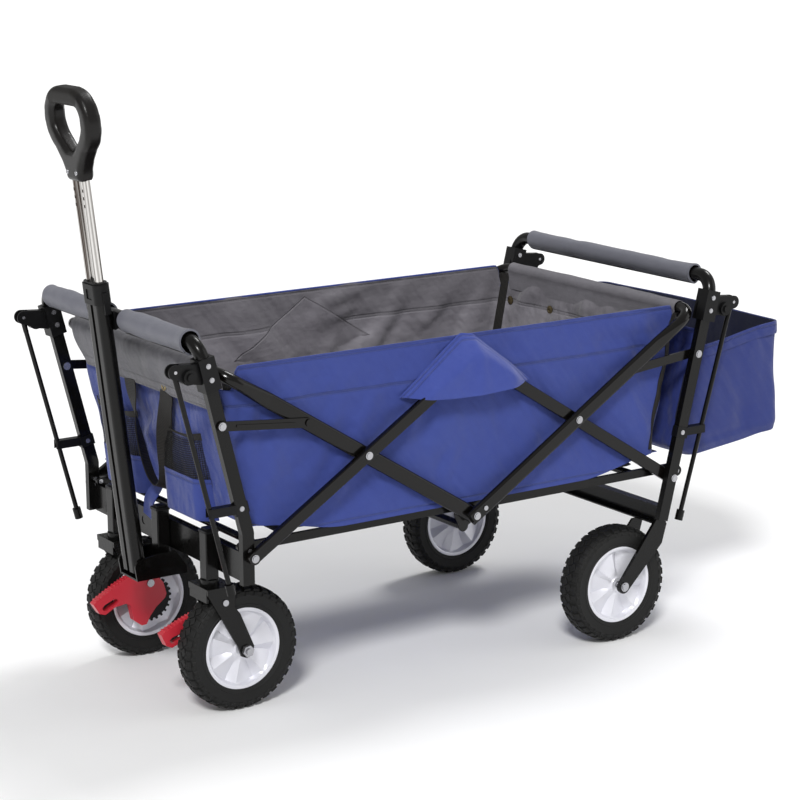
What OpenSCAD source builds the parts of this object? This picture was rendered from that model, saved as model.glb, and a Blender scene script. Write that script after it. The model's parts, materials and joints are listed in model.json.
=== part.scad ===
// Folding wagon with a pull handle: two end frames, four side scissors, two swivelling
// front casters with toothed-ring brakes, two fixed rear wheels, a fabric basket, a rear
// bag and four folding canopy poles. X runs to the bag end, the pull handle is at -X,
// Y is across and Z is up, with the ground at Z = 0.

/* [Folding sides] */
// Distance between the front and rear lower pivots
pivot_span = 824; // [780:2:860]
// Height of the lower pivots above the ground
pivot_h = 277; // [268:1:290]
// Rise from a lower pivot to the top joint of the scissors
scissor_rise = 260; // [250:2:270]
// Centre plane between the inner and the outer layer of side bars
side_plane = 264.5; // [256:0.5:275]
// Gap between the two layers of bars
layer_gap = 1; // [0.8:0.1:1.4]
// Width of a side bar in its plane
bar_w = 20; // [16:1:22]
// Thickness of a side bar
bar_t = 10; // [8:1:10]
// Width of the flattened hoop tube
hoop_w = 25; // [20:1:26]
// Wall of every tube
tube_wall = 1.5; // [1:0.1:2]
// Diameter of the round part of a hoop
hoop_d = 20; // [16:1:22]
// Length of a hoop arm above the scissor pivot
hoop_arm = 258; // [244:2:264]
// Bend radius of a hoop corner
hoop_bend = 32; // [26:1:40]
// Distance of the link rivet from the scissor pivot
link_up = 122; // [110:1:130]
// Height of the link rivet above the lower pivot
link_h = 210; // [200:1:220]
// Width of a steel link
link_w = 15; // [12:1:18]
// Thickness of a steel link
link_t = 3; // [2:0.2:3]
// Diameter of a pivot rivet
rivet_d = 8; // [6:0.5:9]
// Diameter of a small rivet
small_rivet_d = 5; // [4:0.5:6]
// Running clearance round a pin
pin_clear = 0.05; // [0.02:0.01:0.1]

/* [End frames] */
// Lean of the end posts
post_lean = 13.9; // [11:0.1:16]
// Width of a post
post_w = 20; // [16:1:24]
// Thickness of a post
post_t = 12; // [10:1:14]
// Offset of the front posts outward from the lower pivots
post_out = 5; // [3:1:7]
// Height of the knee in the front posts
knee_h = 315; // [300:1:330]
// Height of the lower ends of the front posts
front_post_low = 233; // [228:1:240]
// Height of the lower ends of the rear posts
rear_post_low = 205; // [203:1:212]
// Height of the push bars
push_h = 615; // [595:1:640]
// Diameter of a push bar
push_d = 22; // [19:1:25]
// Bend radius of a push bar
push_bend = 30; // [26:1:40]
// Outer diameter of the padded sleeves
sleeve_d = 33; // [30:1:37]
// Half of the bare length in the middle of the front push bar
sleeve_gap = 40; // [34:1:50]
// Depth of the front crossbeam
beam_depth = 15; // [12:1:15]
// Height of the front crossbeam
beam_h = 46; // [40:1:46]
// Height of the underside of the front crossbeam
beam_low = 232; // [228:1:238]
// Height of the rear crossbeam
rear_beam_h = 34; // [28:1:38]

/* [Casters and wheels] */
// Outer diameter of a tyre
wheel_d = 200; // [192:2:202]
// Width of a tyre
tyre_w = 44; // [38:1:46]
// Diameter of a rim
rim_d = 131; // [120:1:140]
// Distance of the caster stems from the centre plane
caster_y = 157; // [152:1:165]
// Distance of the caster stems forward of the lower pivots
caster_out = 14; // [13:1:16]
// Trail of a caster
trail = 47; // [42:1:52]
// Distance of the rear wheels from the centre plane
rear_wheel_y = 237; // [234:1:238]
// Distance of the rear axle forward of the rear lower pivots
rear_axle_in = 100; // [92:1:108]
// Side of a square stem
stem_w = 22; // [18:1:24]
// Diameter of an axle
axle_d = 10; // [8:1:12]
// Thickness of the fork plates
fork_t = 4; // [3:0.5:5]
// Number of teeth on a brake ring
brake_teeth = 24; // [18:1:28]
// Radius of a brake ring
brake_r = 39; // [36:1:42]
// Thickness of a brake pedal
pedal_t = 14; // [10:1:16]
// Number of facets on a rim
rim_facets = 7; // [5:1:9]

/* [Pull handle] */
// Height of the handle pivot
handle_h = 212; // [208:1:220]
// Distance of the handle pivot forward of the lower pivots
handle_out = 63; // [58:1:68]
// Lean of the handle at rest
handle_lean = 6.4; // [5.6:0.1:7]
// Width of the handle tube
handle_w = 52; // [50:1:58]
// Thickness of the handle tube
handle_t = 23; // [20:1:24]
// Length of the handle tube above its pivot
handle_len = 452; // [430:1:470]
// Diameter of a sliding rod
rod_d = 14; // [12:0.5:15]
// Spacing of the two rods
rod_gap = 29; // [27:1:31]
// Length of the rods out of the tube
rod_out = 160; // [150:1:180]
// Width of the hand grip
grip_w = 148; // [140:1:156]
// Height of the hand grip
grip_h = 144; // [138:1:150]
// Thickness of the hand grip
grip_t = 28; // [24:1:30]
// Corner radius of the hand grip
grip_r = 52; // [48:1:54]
// Width of the limbs beside the hole of the hand grip
grip_rim = 28; // [24:1:30]
// Height of the solid neck of the hand grip
grip_neck_h = 47; // [42:1:50]
// Width of the neck where the rods go in
grip_neck_w = 46; // [44:1:50]

/* [Canopy poles] */
// Diameter of a canopy pole
pole_d = 8; // [6:0.5:9]
// Distance of a pole pivot outward from its post
pole_out = 48; // [44:1:52]
// Length of a front canopy pole
front_pole_len = 366; // [350:1:375]
// Length of a rear canopy pole
rear_pole_len = 384; // [370:1:390]
// Height of the pole clips
clip_h = 355; // [345:1:370]

/* [Fabric] */
// Thickness of the lined fabric walls
cloth_t = 2.5; // [1.5:0.1:3]
// Height of the top edge of the basket
basket_top = 570; // [562:1:574]
// Height of the fabric floor
basket_low = 303; // [301:1:312]
// Gap between the basket and the side bars
basket_side_gap = 5.5; // [5:0.5:7]
// Depth of the rear bag at its mouth
bag_depth = 192; // [170:2:200]
// How far the rear bag's wall bulges out above its bottom
bag_bulge = 7; // [2:1:10]
// Height of the top edge of the rear bag
bag_top = 520; // [500:1:540]
// Height of the bottom of the rear bag
bag_low = 296; // [290:1:310]
// Distance of the rear bag sides from the centre plane
bag_half = 245; // [230:1:247]

/* [Hidden] */
$fn = 48;

px = pivot_span / 2;
mid_h = pivot_h + scissor_rise / 2;
bar_a = atan2(scissor_rise, px);
half_bar = sqrt(px * px + scissor_rise * scissor_rise) / 2;
y_in_out = side_plane - layer_gap / 2;
y_out_in = side_plane + layer_gap / 2;
y_arm_in = y_in_out - bar_t / 2;
y_arm_out = y_out_in + bar_t / 2;
y_post_in = y_in_out - post_t / 2;
y_post_out = y_out_in + post_t / 2;
fit = 0.3;
slot_fit = 0.25;
small_head_t = 2;

// Front and rear post centre lines as functions of height
function fpx(z) = -(px + post_out) - max(0, z - knee_h) * tan(post_lean);
rear_off = 4;
function rpx(z) = px - rear_off + (z - pivot_h) * tan(post_lean);

link_z = pivot_h + link_h;
l1x = fpx(link_z);
l1rx = rpx(link_z);
l2x = -px / 2 - link_up * cos(bar_a);
l2z = mid_h + link_up * sin(bar_a);
push_x = fpx(push_h);
rpush_x = rpx(push_h);
bracket_drop = 47;
bracket_h = push_h - bracket_drop;
bracket_len = 52;
pole_rise = 9;
pole_piv_h = bracket_h + pole_rise;
fpole_x = fpx(bracket_h) - pole_out - 6;
rpole_x = rpx(bracket_h) + pole_out + 8;
rpole_piv_h = bracket_h;

stem_x = -(px + caster_out);
wheel_r = wheel_d / 2;
caster_x = stem_x + trail;
rear_x = px - rear_axle_in;
fork_top = wheel_r + 110;
stem_low = fork_top + 9;
fork_gap = tyre_w / 2 + 4.5;
beam_x = stem_x + stem_w / 2;
stem_top = 294;

handle_x = -(px + handle_out);
yoke_low = handle_h - 22;
rear_beam_low = rear_post_low - 10;
rear_leg_in = rear_wheel_y - tyre_w / 2 - 5;
basket_y = y_in_out - bar_t - basket_side_gap;
hoop_end_x = -px / 2 - (hoop_arm + hoop_bend) * cos(bar_a);
hoop_end_z = mid_h + (hoop_arm + hoop_bend) * sin(bar_a);
floor_h = pivot_h + 9;
floor_piv = px + 2;
floor_w = 14;
floor_t = 7;
floor_piv_r = px + 14;
y_floor_f = basket_y - 13;
y_floor_r = y_floor_f + floor_t + layer_gap;

module mirror_y() {
  children();
  mirror([0, 1, 0]) children();
}

// A cylinder along Y from y0 to y1 at (x, z)
module y_cyl(x, z, y0, y1, d) {
  translate([x, y1, z]) rotate([90, 0, 0]) cylinder(h = y1 - y0, d = d);
}

// A rivet along Y with low domed heads on both ends; y0 and y1 are the outer faces
module rivet(x, z, y0, y1, d, head = 2.6) {
  y_cyl(x, z, y0, y1, d);
  y_cyl(x, z, y1, y1 + head * 0.6, d * 1.6);
  y_cyl(x, z, y1 + head * 0.6, y1 + head, d * 1.15);
  y_cyl(x, z, y0 - head * 0.6, y0, d * 1.6);
}

// The same with its inner end flush
module flush_rivet(x, z, y0, y1, d, head = 2.6) {
  y_cyl(x, z, y0, y1, d);
  y_cyl(x, z, y1, y1 + head * 0.6, d * 1.6);
  y_cyl(x, z, y1 + head * 0.6, y1 + head, d * 1.15);
}

module stadium(w, t) {
  square([w - t, t], center = true);
  translate([(w - t) / 2, 0]) circle(d = t);
  translate([-(w - t) / 2, 0]) circle(d = t);
}

module rounded(w, h, r) {
  square([w - 2 * r, h], center = true);
  square([w, h - 2 * r], center = true);
  for (i = [-1, 1], j = [-1, 1]) translate([i * (w / 2 - r), j * (h / 2 - r)]) circle(r = r);
}

// Mitred outline of a strip of half width w through three points
function unit(v) = v / norm(v);
function turn(v) = [-v[1], v[0]];
function mitre(a, b, w) = w * (a + b) / (1 + a * b);
function strip(p, w) =
  let (n1 = turn(unit(p[1] - p[0])), n2 = turn(unit(p[2] - p[1])))
  [p[0] + w * n1, p[1] + mitre(n1, n2, w), p[2] + w * n2,
   p[2] - w * n2, p[1] - mitre(n1, n2, w), p[0] - w * n1];

// Draws a profile given in X and Z as a plate between y0 and y1
module plate(y0, y1) {
  translate([0, y1, 0]) rotate([90, 0, 0]) linear_extrude(y1 - y0) children();
}

// ---------- bent tubes and bars ----------
// Hole along Y through an arm whose centre is at half_y
module pin_hole(half_y, d) {
  translate([0, half_y + bar_t, 0]) rotate([90, 0, 0])
    cylinder(h = 2 * bar_t, d = d + 2 * pin_clear);
}

// Flattened arms from x0 to x1 at both sides
module hoop_arms(x0, x1, half_y, w, t) {
  mirror_y() translate([x0, half_y, 0]) rotate([90, 0, 90]) linear_extrude(x1 - x0)
    rotate(90) stadium(w, t);
}

// Two flattened arms that turn round before the corners, with a cross tube at their top.
// Local X runs up the arms and the scissor pivot is at the origin.
module hoop(half_y) {
  round_x = hoop_arm - 58;
  difference() {
    union() {
      hoop_arms(-half_bar - 10, round_x, half_y, hoop_w, bar_t);
      mirror_y() hull() {
        translate([round_x - 1, half_y, 0]) rotate([90, 0, 90]) linear_extrude(1)
          rotate(90) stadium(hoop_w, bar_t, $fn = 32);
        translate([hoop_arm - 1, half_y, 0]) rotate([0, 90, 0])
          cylinder(h = 1, d = hoop_d, $fn = 32);
      }
      mirror_y() translate([hoop_arm, half_y - hoop_bend, 0])
        rotate_extrude(angle = 90) translate([hoop_bend, 0]) circle(d = hoop_d);
      translate([hoop_arm + hoop_bend, half_y - hoop_bend, 0]) rotate([90, 0, 0])
        cylinder(h = 2 * (half_y - hoop_bend), d = hoop_d);
    }
    hoop_arms(-half_bar + 24, round_x - 6, half_y, hoop_w - 2 * tube_wall, bar_t - 2 * tube_wall);
    mirror_y() {
      translate([-half_bar, 0, 0]) pin_hole(half_y, rivet_d);
      pin_hole(half_y, rivet_d);
    }
  }
}

// Straight bar with a rivet hole at each end and one in the middle
module side_bar(yc) {
  mirror_y() difference() {
    union() {
      translate([-half_bar, yc, 0]) rotate([90, 0, 90]) linear_extrude(2 * half_bar)
        rounded(bar_t, bar_w, 2);
      for (x = [-half_bar, half_bar]) y_cyl(x, 0, yc - bar_t / 2, yc + bar_t / 2, bar_w);
    }
    for (x = [-half_bar + 14, 14]) translate([x, yc, 0]) rotate([90, 0, 90])
      linear_extrude(half_bar - 28)
      square([bar_t - 2 * tube_wall, bar_w - 2 * tube_wall], center = true);
    for (x = [-half_bar, 0, half_bar]) translate([x, 0, 0]) pin_hole(yc, rivet_d);
  }
}

module at_front_scissor() {
  translate([-px / 2, 0, mid_h]) rotate([0, 180 + bar_a, 0]) children();
}

module at_rear_scissor() {
  translate([px / 2, 0, mid_h]) rotate([0, -bar_a, 0]) children();
}

// Push bar: a U whose cross tube lies at the origin and whose arms run to local -X
push_arm = push_bend + 16;
module push_u_solid(half_y, d) {
  mirror_y() {
    translate([-push_arm, half_y, 0]) rotate([0, 90, 0]) cylinder(h = push_arm - push_bend, d = d);
    translate([-push_bend, half_y - push_bend, 0]) rotate_extrude(angle = 90)
      translate([push_bend, 0]) circle(d = d);
  }
  translate([0, half_y - push_bend, 0]) rotate([90, 0, 0])
    cylinder(h = 2 * (half_y - push_bend), d = d);
}

module push_u(half_y) {
  difference() {
    push_u_solid(half_y, push_d);
    translate([0, half_y - push_bend, 0]) rotate([90, 0, 0])
      cylinder(h = 2 * (half_y - push_bend), d = push_d - 2 * tube_wall);
  }
}

// Padded sleeve open along its underside, from y0 to y1 round the push bar
module sleeve(y0, y1) {
  rotate([90, 0, 0]) translate([0, 0, -y1]) difference() {
    cylinder(h = y1 - y0, d = sleeve_d);
    translate([0, 0, -1]) cylinder(h = y1 - y0 + 2, d = push_d);
    translate([-sleeve_d, -4.5, -1]) cube([sleeve_d, 9, y1 - y0 + 2]);
  }
}

// ---------- posts and brackets ----------
// Hollow post along three points, open at its foot
module post(p, y0) {
  difference() {
    plate(y0, y0 + post_t) polygon(strip(p, post_w / 2));
    plate(y0 + tube_wall, y0 + post_t - tube_wall)
      polygon(strip([p[0] + unit(p[0] - p[1]), p[1], p[2] + 2 * unit(p[1] - p[2])],
        post_w / 2 - tube_wall));
  }
}

post_top = push_h - push_arm * cos(post_lean);
front_path = [[fpx(0), front_post_low], [fpx(0), knee_h], [fpx(post_top), post_top]];
rear_path = [[rpx(rear_post_low), rear_post_low], [rpx(pivot_h), pivot_h], [rpx(post_top), post_top]];

// Holder round a post's top with an arm that carries a pole; written for the front,
// bx is the post centre at bracket_h, and the pole pivots at (ex, ez)
module pole_bracket(bx, ex, ez, yc, side) {
  w = bracket_wall;
  arm_t = pole_eye_t + 2 * w + 2 * fit;
  kx = ex + 22;
  difference() {
    union() {
      translate([bx, 0, bracket_h]) rotate([0, -90 - post_lean, 0])
        translate([-bracket_len / 2, yc - push_d / 2 - w, -push_d / 2 - w])
        cube([bracket_len, push_d + 2 * w, push_d + 2 * w]);
      plate(yc - arm_t / 2, yc + arm_t / 2) {
        polygon([[bx, bracket_h + 16], [bx, bracket_h - 16], [kx, ez - 20], [ex, ez - 11], [ex, ez + 11]]);
        translate([ex, ez]) circle(r = 11);
        translate([kx, ez - 9]) circle(r = 12.5);
      }
      y_cyl(kx, ez - 9, yc, yc + arm_t / 2 + 5, 22);
      y_cyl(kx, ez - 9, yc, yc + arm_t / 2 + 8, 12);
    }
    // seats of the post and of the push bar's arm
    plate(yc - post_t / 2 - pin_clear, yc + post_t / 2 + pin_clear)
      polygon([for (c = [[-1, -1], [-1, 1], [1, -1], [1, 1]])
        [bx, bracket_h] + c[0] * (post_w / 2 + pin_clear) * [cos(post_lean), sin(post_lean)]
        + c[0] * c[1] * 60 * [-sin(post_lean), cos(post_lean)]]);
    translate([bx - (push_h - bracket_h) * tan(post_lean), 0, push_h])
      rotate([0, -90 - post_lean, 0]) push_u_solid(yc, push_d + 2 * pin_clear);
    // relief for the link that swings up beside the post
    plate(yc + side * (post_t / 2 + 2.1) - 2.1, yc + side * (post_t / 2 + 2.1) + 2.1)
      translate([bx + 12, bracket_h - 60]) square([30, 90]);
    // slot for the eye of the pole
    translate([ex - 40, yc - pole_eye_t / 2 - fit, ez - 40])
      cube([40 + pole_eye_d / 2 + 1.5, pole_eye_t + 2 * fit, 80]);
    y_cyl(ex, ez, yc - 30, yc + 30, small_rivet_d);
  }
}
bracket_wall = 2.5;
pole_eye_t = 9;
pole_eye_d = 17;

// Clip on the post that holds the hanging pole; cx is the pole centre at clip_h
module pole_clip(bx, cx, yc, a, side) {
  c_out = pole_d / 2 + 3;
  difference() {
    union() {
      translate([cx, yc - c_out, clip_h - 7]) cube([bx - cx - post_w / 2, 2 * c_out, 14]);
      translate([cx, yc, clip_h - 7]) cylinder(h = 14, r = c_out);
      translate([cx - 4, yc - c_out, clip_h - 7]) cube([4, 2 * c_out, 14]);
      translate([bx, 0, clip_h]) rotate([0, -90 - post_lean, 0])
        translate([-9, yc - post_t / 2 - 1 - side, -post_w / 2 - 2])
        cube([18, post_t + 2, post_w + 4]);
    }
    plate(yc - post_t / 2 - pin_clear, yc + post_t / 2 + pin_clear)
      polygon([for (c = [[-1, -1], [-1, 1], [1, -1], [1, 1]])
        [bx, clip_h] + c[0] * (post_w / 2 + pin_clear) * [cos(post_lean), sin(post_lean)]
        + c[0] * c[1] * 60 * [-sin(post_lean), cos(post_lean)]]);
    translate([cx, yc, clip_h]) rotate([0, -a, 0]) translate([0, 0, -20]) {
      cylinder(h = 40, r = pole_d / 2 + slot_fit);
      translate([-20, -pole_d / 2 - slot_fit, 0]) cube([20, pole_d + 2 * slot_fit, 40]);
    }
    y_cyl(bx, clip_h, yc - 30, yc + 30, small_rivet_d);
  }
}

// Pole that hangs from its eye at (ex, ez), leaning by a degrees
module pole(ex, ez, yc, a, len) {
  difference() {
    union() {
      y_cyl(ex, ez, yc - pole_eye_t / 2, yc + pole_eye_t / 2, pole_eye_d);
      translate([ex, yc, ez]) rotate([0, 180 - a, 0]) {
        cylinder(h = len - 4, d = pole_d);
        cylinder(h = 26, d = pole_d + 0.6);
        translate([0, 0, len - 18]) cylinder(h = 18, d = pole_d + 6);
      }
    }
    y_cyl(ex, ez, yc - 30, yc + 30, small_rivet_d + 2 * pin_clear);
  }
}

// Lean of each pole, from the place of its clip
fclip_cx = fpx(clip_h) - pole_out - 3;
rclip_cx = -rpx(clip_h) - pole_out + 1;
fpole_a = atan2(fclip_cx - fpole_x, pole_piv_h - clip_h);
rpole_a = atan2(rclip_cx + rpole_x, rpole_piv_h - clip_h);

// ---------- front frame ----------
module front_posts() {
  color("#1b1b1c") mirror_y() difference() {
    post(front_path, y_in_out - post_t);
    y_cyl(-px, pivot_h, 0, y_in_out + 1, rivet_d);
    y_cyl(l1x, link_z, 0, y_in_out + 1, rivet_d);
    y_cyl(-floor_piv, floor_h, 0, y_in_out + 1, rivet_d);
    for (p = bracket_rivets(fpx(bracket_h))) y_cyl(p[0], p[1], 0, y_in_out + 1, small_rivet_d);
    y_cyl(fpx(clip_h), clip_h, 0, y_in_out + 1, small_rivet_d);
  }
}

function bracket_rivets(bx) = [for (s = [-8, 14])
  [bx - s * sin(post_lean), bracket_h + s * cos(post_lean)]];

module front_push_bar() {
  color("#1b1b1c") difference() {
    translate([push_x, 0, push_h]) rotate([0, -90 - post_lean, 0]) push_u(y_post_in);
    bar_holes(y_post_in, fpx(bracket_h));
  }
}

// Rivet holes across both arms of a push bar
module bar_holes(yc, bx) {
  top = bracket_rivets(bx)[1];
  mirror_y() y_cyl(top[0], top[1], yc - push_d, yc + push_d, small_rivet_d);
}

module front_grip_sleeves() {
  color("#77747a") mirror_y() translate([push_x, 0, push_h]) rotate([0, -90 - post_lean, 0])
    sleeve(sleeve_gap, y_post_in - push_bend);
}

module front_pole_brackets() {
  color("#161617") mirror_y() difference() {
    pole_bracket(fpx(bracket_h), fpole_x, pole_piv_h, y_post_in, 1);
    for (p = bracket_rivets(fpx(bracket_h))) y_cyl(p[0], p[1], 0, 300, small_rivet_d);
  }
}

module front_pole_clips() {
  color("#161617") mirror_y() pole_clip(fpx(clip_h), fclip_cx, y_post_in, fpole_a, 1);
}

module front_crossbeam() {
  span = 2 * (y_in_out - post_t);
  color("#202022") difference() {
    translate([beam_x, -span / 2, beam_low]) cube([beam_depth, span, beam_h]);
    translate([beam_x + 2.5, -span / 2 - 1, beam_low + 2.5])
      cube([beam_depth, span + 2, beam_h - 5]);
    for (s = [-1, 1]) translate([beam_x - 1, s * caster_y / 2, beam_low + beam_h / 2])
      rotate([0, 90, 0]) cylinder(h = 2, d = 14);
  }
}

module caster_stems() {
  color("#202022") for (y = [-caster_y, caster_y]) translate([stem_x, y, stem_low])
    difference() {
      linear_extrude(stem_top - stem_low) rounded(stem_w, stem_w, 2);
      translate([0, 0, -1]) cylinder(h = pin_len + 3, d = swivel_d + 2 * pin_clear);
      translate([0, 0, pin_len + 8]) linear_extrude(stem_top)
        square(stem_w - 4, center = true);
    }
  color("#202022") translate([stem_x, 0, yoke_low + 3]) difference() {
    linear_extrude(stem_top - yoke_low - 3) rounded(stem_w, stem_w, 2);
    translate([0, 0, 30]) linear_extrude(stem_top) square(stem_w - 4, center = true);
  }
}
swivel_d = 12;
pin_len = 48;

module stem_caps() {
  color("#121213") for (y = [-caster_y, 0, caster_y]) translate([stem_x, y, stem_top]) {
    linear_extrude(4) rounded(stem_w + 3, stem_w + 3, 3);
    translate([0, 0, 4]) linear_extrude(3) rounded(stem_w - 4, stem_w - 4, 3);
    translate([0, 0, -8]) linear_extrude(8) square(stem_w - 4, center = true);
  }
}

module front_rivets() {
  yi = y_in_out - post_t;
  color("#c9c9cc") mirror_y() {
    flush_rivet(-px, pivot_h, yi, y_out_in + bar_t, rivet_d);
    rivet(l1x, link_z, yi, y_in_out + fit + link_t, rivet_d);
    y_cyl(-floor_piv, floor_h, y_floor_f - floor_t / 2, y_in_out, rivet_d);
    for (p = bracket_rivets(fpx(bracket_h)))
      rivet(p[0], p[1], y_post_in - push_d / 2 - bracket_wall, y_post_in + push_d / 2 + bracket_wall,
        small_rivet_d, small_head_t);
    y_cyl(fpole_x, pole_piv_h, y_post_in - pole_arm_t / 2, y_post_in + pole_arm_t / 2, small_rivet_d);
    rivet(fpx(clip_h), clip_h, yi - 2, y_in_out, small_rivet_d, 0.9 * layer_gap);
  }
}
pole_arm_t = pole_eye_t + 2 * bracket_wall + 2 * fit;

// Yoke under the middle stem, with the pin of the pull handle
module handle_yoke() {
  gap = handle_w / 2 + fit;
  color("#202022") difference() {
    union() {
      mirror_y() plate(gap, gap + 3) {
        translate([handle_x, handle_h]) circle(r = 13.5);
        polygon([[handle_x, handle_h + 13.5], [handle_x - 13.5, handle_h], [handle_x - 10, yoke_low],
          [stem_x + 30, yoke_low], [stem_x + 30, yoke_low + 12], [stem_x + stem_w / 2 - 1, beam_low - 2],
          [stem_x - 12, beam_low - 2]]);
      }
      translate([handle_x - 10, -gap - 3, yoke_low]) cube([stem_x + 40 - handle_x, 2 * gap + 6, 3]);
    }
    y_cyl(handle_x, handle_h, -60, 60, rivet_d);
  }
  color("#c9c9cc") rivet(handle_x, handle_h, -gap - 3, gap + 3, rivet_d);
}

// ---------- scissors ----------
module side_bars_front() {
  color("#232120") translate([-px / 2, 0, mid_h]) rotate([0, -bar_a, 0]) side_bar(y_arm_out);
}

module side_bars_rear() {
  color("#232120") translate([px / 2, 0, mid_h]) rotate([0, 180 + bar_a, 0]) side_bar(y_arm_in);
}

module side_bar_rivets() {
  color("#c9c9cc") mirror_y() {
    rivet(-px / 2, mid_h, y_in_out - bar_t, y_out_in + bar_t, rivet_d);
    rivet(0, pivot_h + scissor_rise, y_in_out - bar_t, y_out_in + bar_t, rivet_d);
  }
}

// End plate of a hoop arm with the eye for the lower cross tube
module hoop_plate(y0, y1) {
  plate(y0, y1) difference() {
    union() {
      translate([0, pivot_h]) circle(r = 15);
      polygon([[-30, pivot_h + 2], [-20, pivot_h + 26], [4, pivot_h + 14],
        [8, pivot_h - 13], [-16, pivot_h - 27]]);
      translate([-low_tube_in, pivot_h - low_tube_drop]) circle(r = 9);
    }
    translate([0, pivot_h]) circle(d = rivet_d);
  }
}
y_plate = y_in_out - bar_t - 2;
low_tube_in = 12;
low_tube_drop = 20;
low_tube_d = 14;

module hoop_front() {
  color("#232120") {
    at_front_scissor() hoop(y_arm_in);
    mirror_y() hoop_plate(y_plate, y_in_out - bar_t + 0.5);
    y_cyl(-low_tube_in, pivot_h - low_tube_drop, -(y_plate), y_plate,
      low_tube_d);
  }
}

module hoop_rear() {
  color("#232120") at_rear_scissor() hoop(y_arm_out);
}

module hoop_front_rivets() {
  color("#c9c9cc") mirror_y() {
    rivet(0, pivot_h, y_plate, y_out_in + bar_t, rivet_d);
    y_cyl(-24 * cos(bar_a), pivot_h + 24 * sin(bar_a), y_plate - 1.2, y_plate, small_rivet_d * 1.6);
  }
}

module hoop_rear_rivets() {
  color("#c9c9cc") mirror_y() {
    rivet(px / 2, mid_h, y_in_out - bar_t, y_out_in + bar_t, rivet_d);
    y_cyl(20 * cos(bar_a), pivot_h + 20 * sin(bar_a), y_out_in + bar_t, y_out_in + bar_t + 2,
      small_rivet_d * 1.6);
  }
}

module link(x0, z0, x1, z1, y0) {
  d = [x1 - x0, z1 - z0];
  difference() {
    plate(y0, y0 + link_t) {
      polygon(strip([[x0, z0], ([x0, z0] + [x1, z1]) / 2, [x1, z1]], link_w / 2));
      for (p = [[x0, z0], [x1, z1]]) translate(p) circle(d = link_w);
    }
    y_cyl(x0, z0, y0 - 1, y0 + link_t + 1, rivet_d + 2 * pin_clear);
  }
}

// The links' far ends carry their own rivet heads, clear of the bars
module links_front() {
  y0 = y_in_out + fit;
  color("#232120") mirror_y() {
    link(l1x, link_z, l2x, l2z, y0);
    y_cyl(l2x, l2z, y0 + link_t, y0 + link_t + 2.4, rivet_d * 1.5);
    rib(l1x, l2x, y0 + link_t, y0 + link_t + 1.5);
  }
}

module links_rear() {
  y1 = y_out_in - fit;
  color("#232120") mirror_y() {
    link(l1rx, link_z, -l2x, l2z, y1 - link_t);
    y_cyl(-l2x, l2z, y1 - link_t - 2.4, y1 - link_t, rivet_d * 1.5);
  }
}

// Pressed rib along a front link
module rib(x0, x1, y0, y1) {
  f = 0.16;
  plate(y0, y1) polygon(strip([[x0, link_z] + f * [x1 - x0, l2z - link_z],
    [x0, link_z] + 0.5 * [x1 - x0, l2z - link_z],
    [x0, link_z] + (1 - f) * [x1 - x0, l2z - link_z]], 1.8));
}

// ---------- floor frames ----------
module rail(x0, x1, yc) {
  mirror_y() difference() {
    plate(yc - floor_t / 2, yc + floor_t / 2) {
      translate([min(x0, x1), floor_h - floor_w / 2]) square([abs(x1 - x0), floor_w]);
      for (x = [x0, x1]) translate([x, floor_h]) circle(d = floor_w);
    }
    y_cyl(x0, floor_h, 0, y_out_in, rivet_d + 2 * pin_clear);
  }
}

module floor_frame_front() {
  yc = y_floor_f;
  color("#202022") {
    rail(-floor_piv, 4, yc);
    for (x = [-px + 26, -px / 2]) y_cyl(x, floor_h, -yc + floor_t / 2, yc - floor_t / 2, floor_w - 2);
    y_cyl(0, floor_h, -yc + floor_t / 2, yc - floor_t / 2, floor_w);
  }
}

module floor_frame_rear() {
  yc = y_floor_r;
  color("#202022") {
    rail(floor_piv_r, -4, yc);
    for (x = [px - 62, px / 2 + 10]) y_cyl(x, floor_h, -yc + floor_t / 2, yc - floor_t / 2, floor_w - 2);
  }
}

// ---------- rear frame ----------
module rear_posts() {
  y0 = y_out_in;
  color("#1b1b1c") mirror_y() difference() {
    union() {
      post(rear_path, y0);
      plate(y0, y0 + 4) {
        translate([floor_piv_r, floor_h]) circle(r = 9);
        translate([px, floor_h - 9]) square([floor_piv_r - px, 18]);
      }
    }
    y_cyl(px, pivot_h, y0 - 1, y0 + post_t + 1, rivet_d);
    y_cyl(l1rx, link_z, y0 - 1, y0 + post_t + 1, rivet_d);
    y_cyl(floor_piv_r, floor_h, y0 - 1, y0 + post_t + 1, rivet_d);
    for (p = bracket_rivets(-rpx(bracket_h))) y_cyl(-p[0], p[1], y0 - 1, y0 + post_t + 1, small_rivet_d);
    y_cyl(rpx(clip_h), clip_h, y0 - 1, y0 + post_t + 1, small_rivet_d);
  }
}

module rear_push_bar() {
  color("#1b1b1c") mirror([1, 0, 0]) difference() {
    translate([-rpush_x, 0, push_h]) rotate([0, -90 - post_lean, 0]) push_u(y_post_out);
    bar_holes(y_post_out, -rpx(bracket_h));
  }
}

module rear_grip_sleeve() {
  half = y_post_out - push_bend;
  color("#77747a") mirror([1, 0, 0]) translate([-rpush_x, 0, push_h])
    rotate([0, -90 - post_lean, 0]) sleeve(-half, half);
}

module rear_pole_brackets() {
  color("#161617") mirror_y() mirror([1, 0, 0]) difference() {
    pole_bracket(-rpx(bracket_h), -rpole_x, rpole_piv_h, y_post_out, -1);
    for (p = bracket_rivets(-rpx(bracket_h))) y_cyl(p[0], p[1], 0, 320, small_rivet_d);
  }
}

module rear_pole_clips() {
  color("#161617") mirror_y() mirror([1, 0, 0]) pole_clip(-rpx(clip_h), rclip_cx, y_post_out,
    rpole_a, -1);
}

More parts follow.
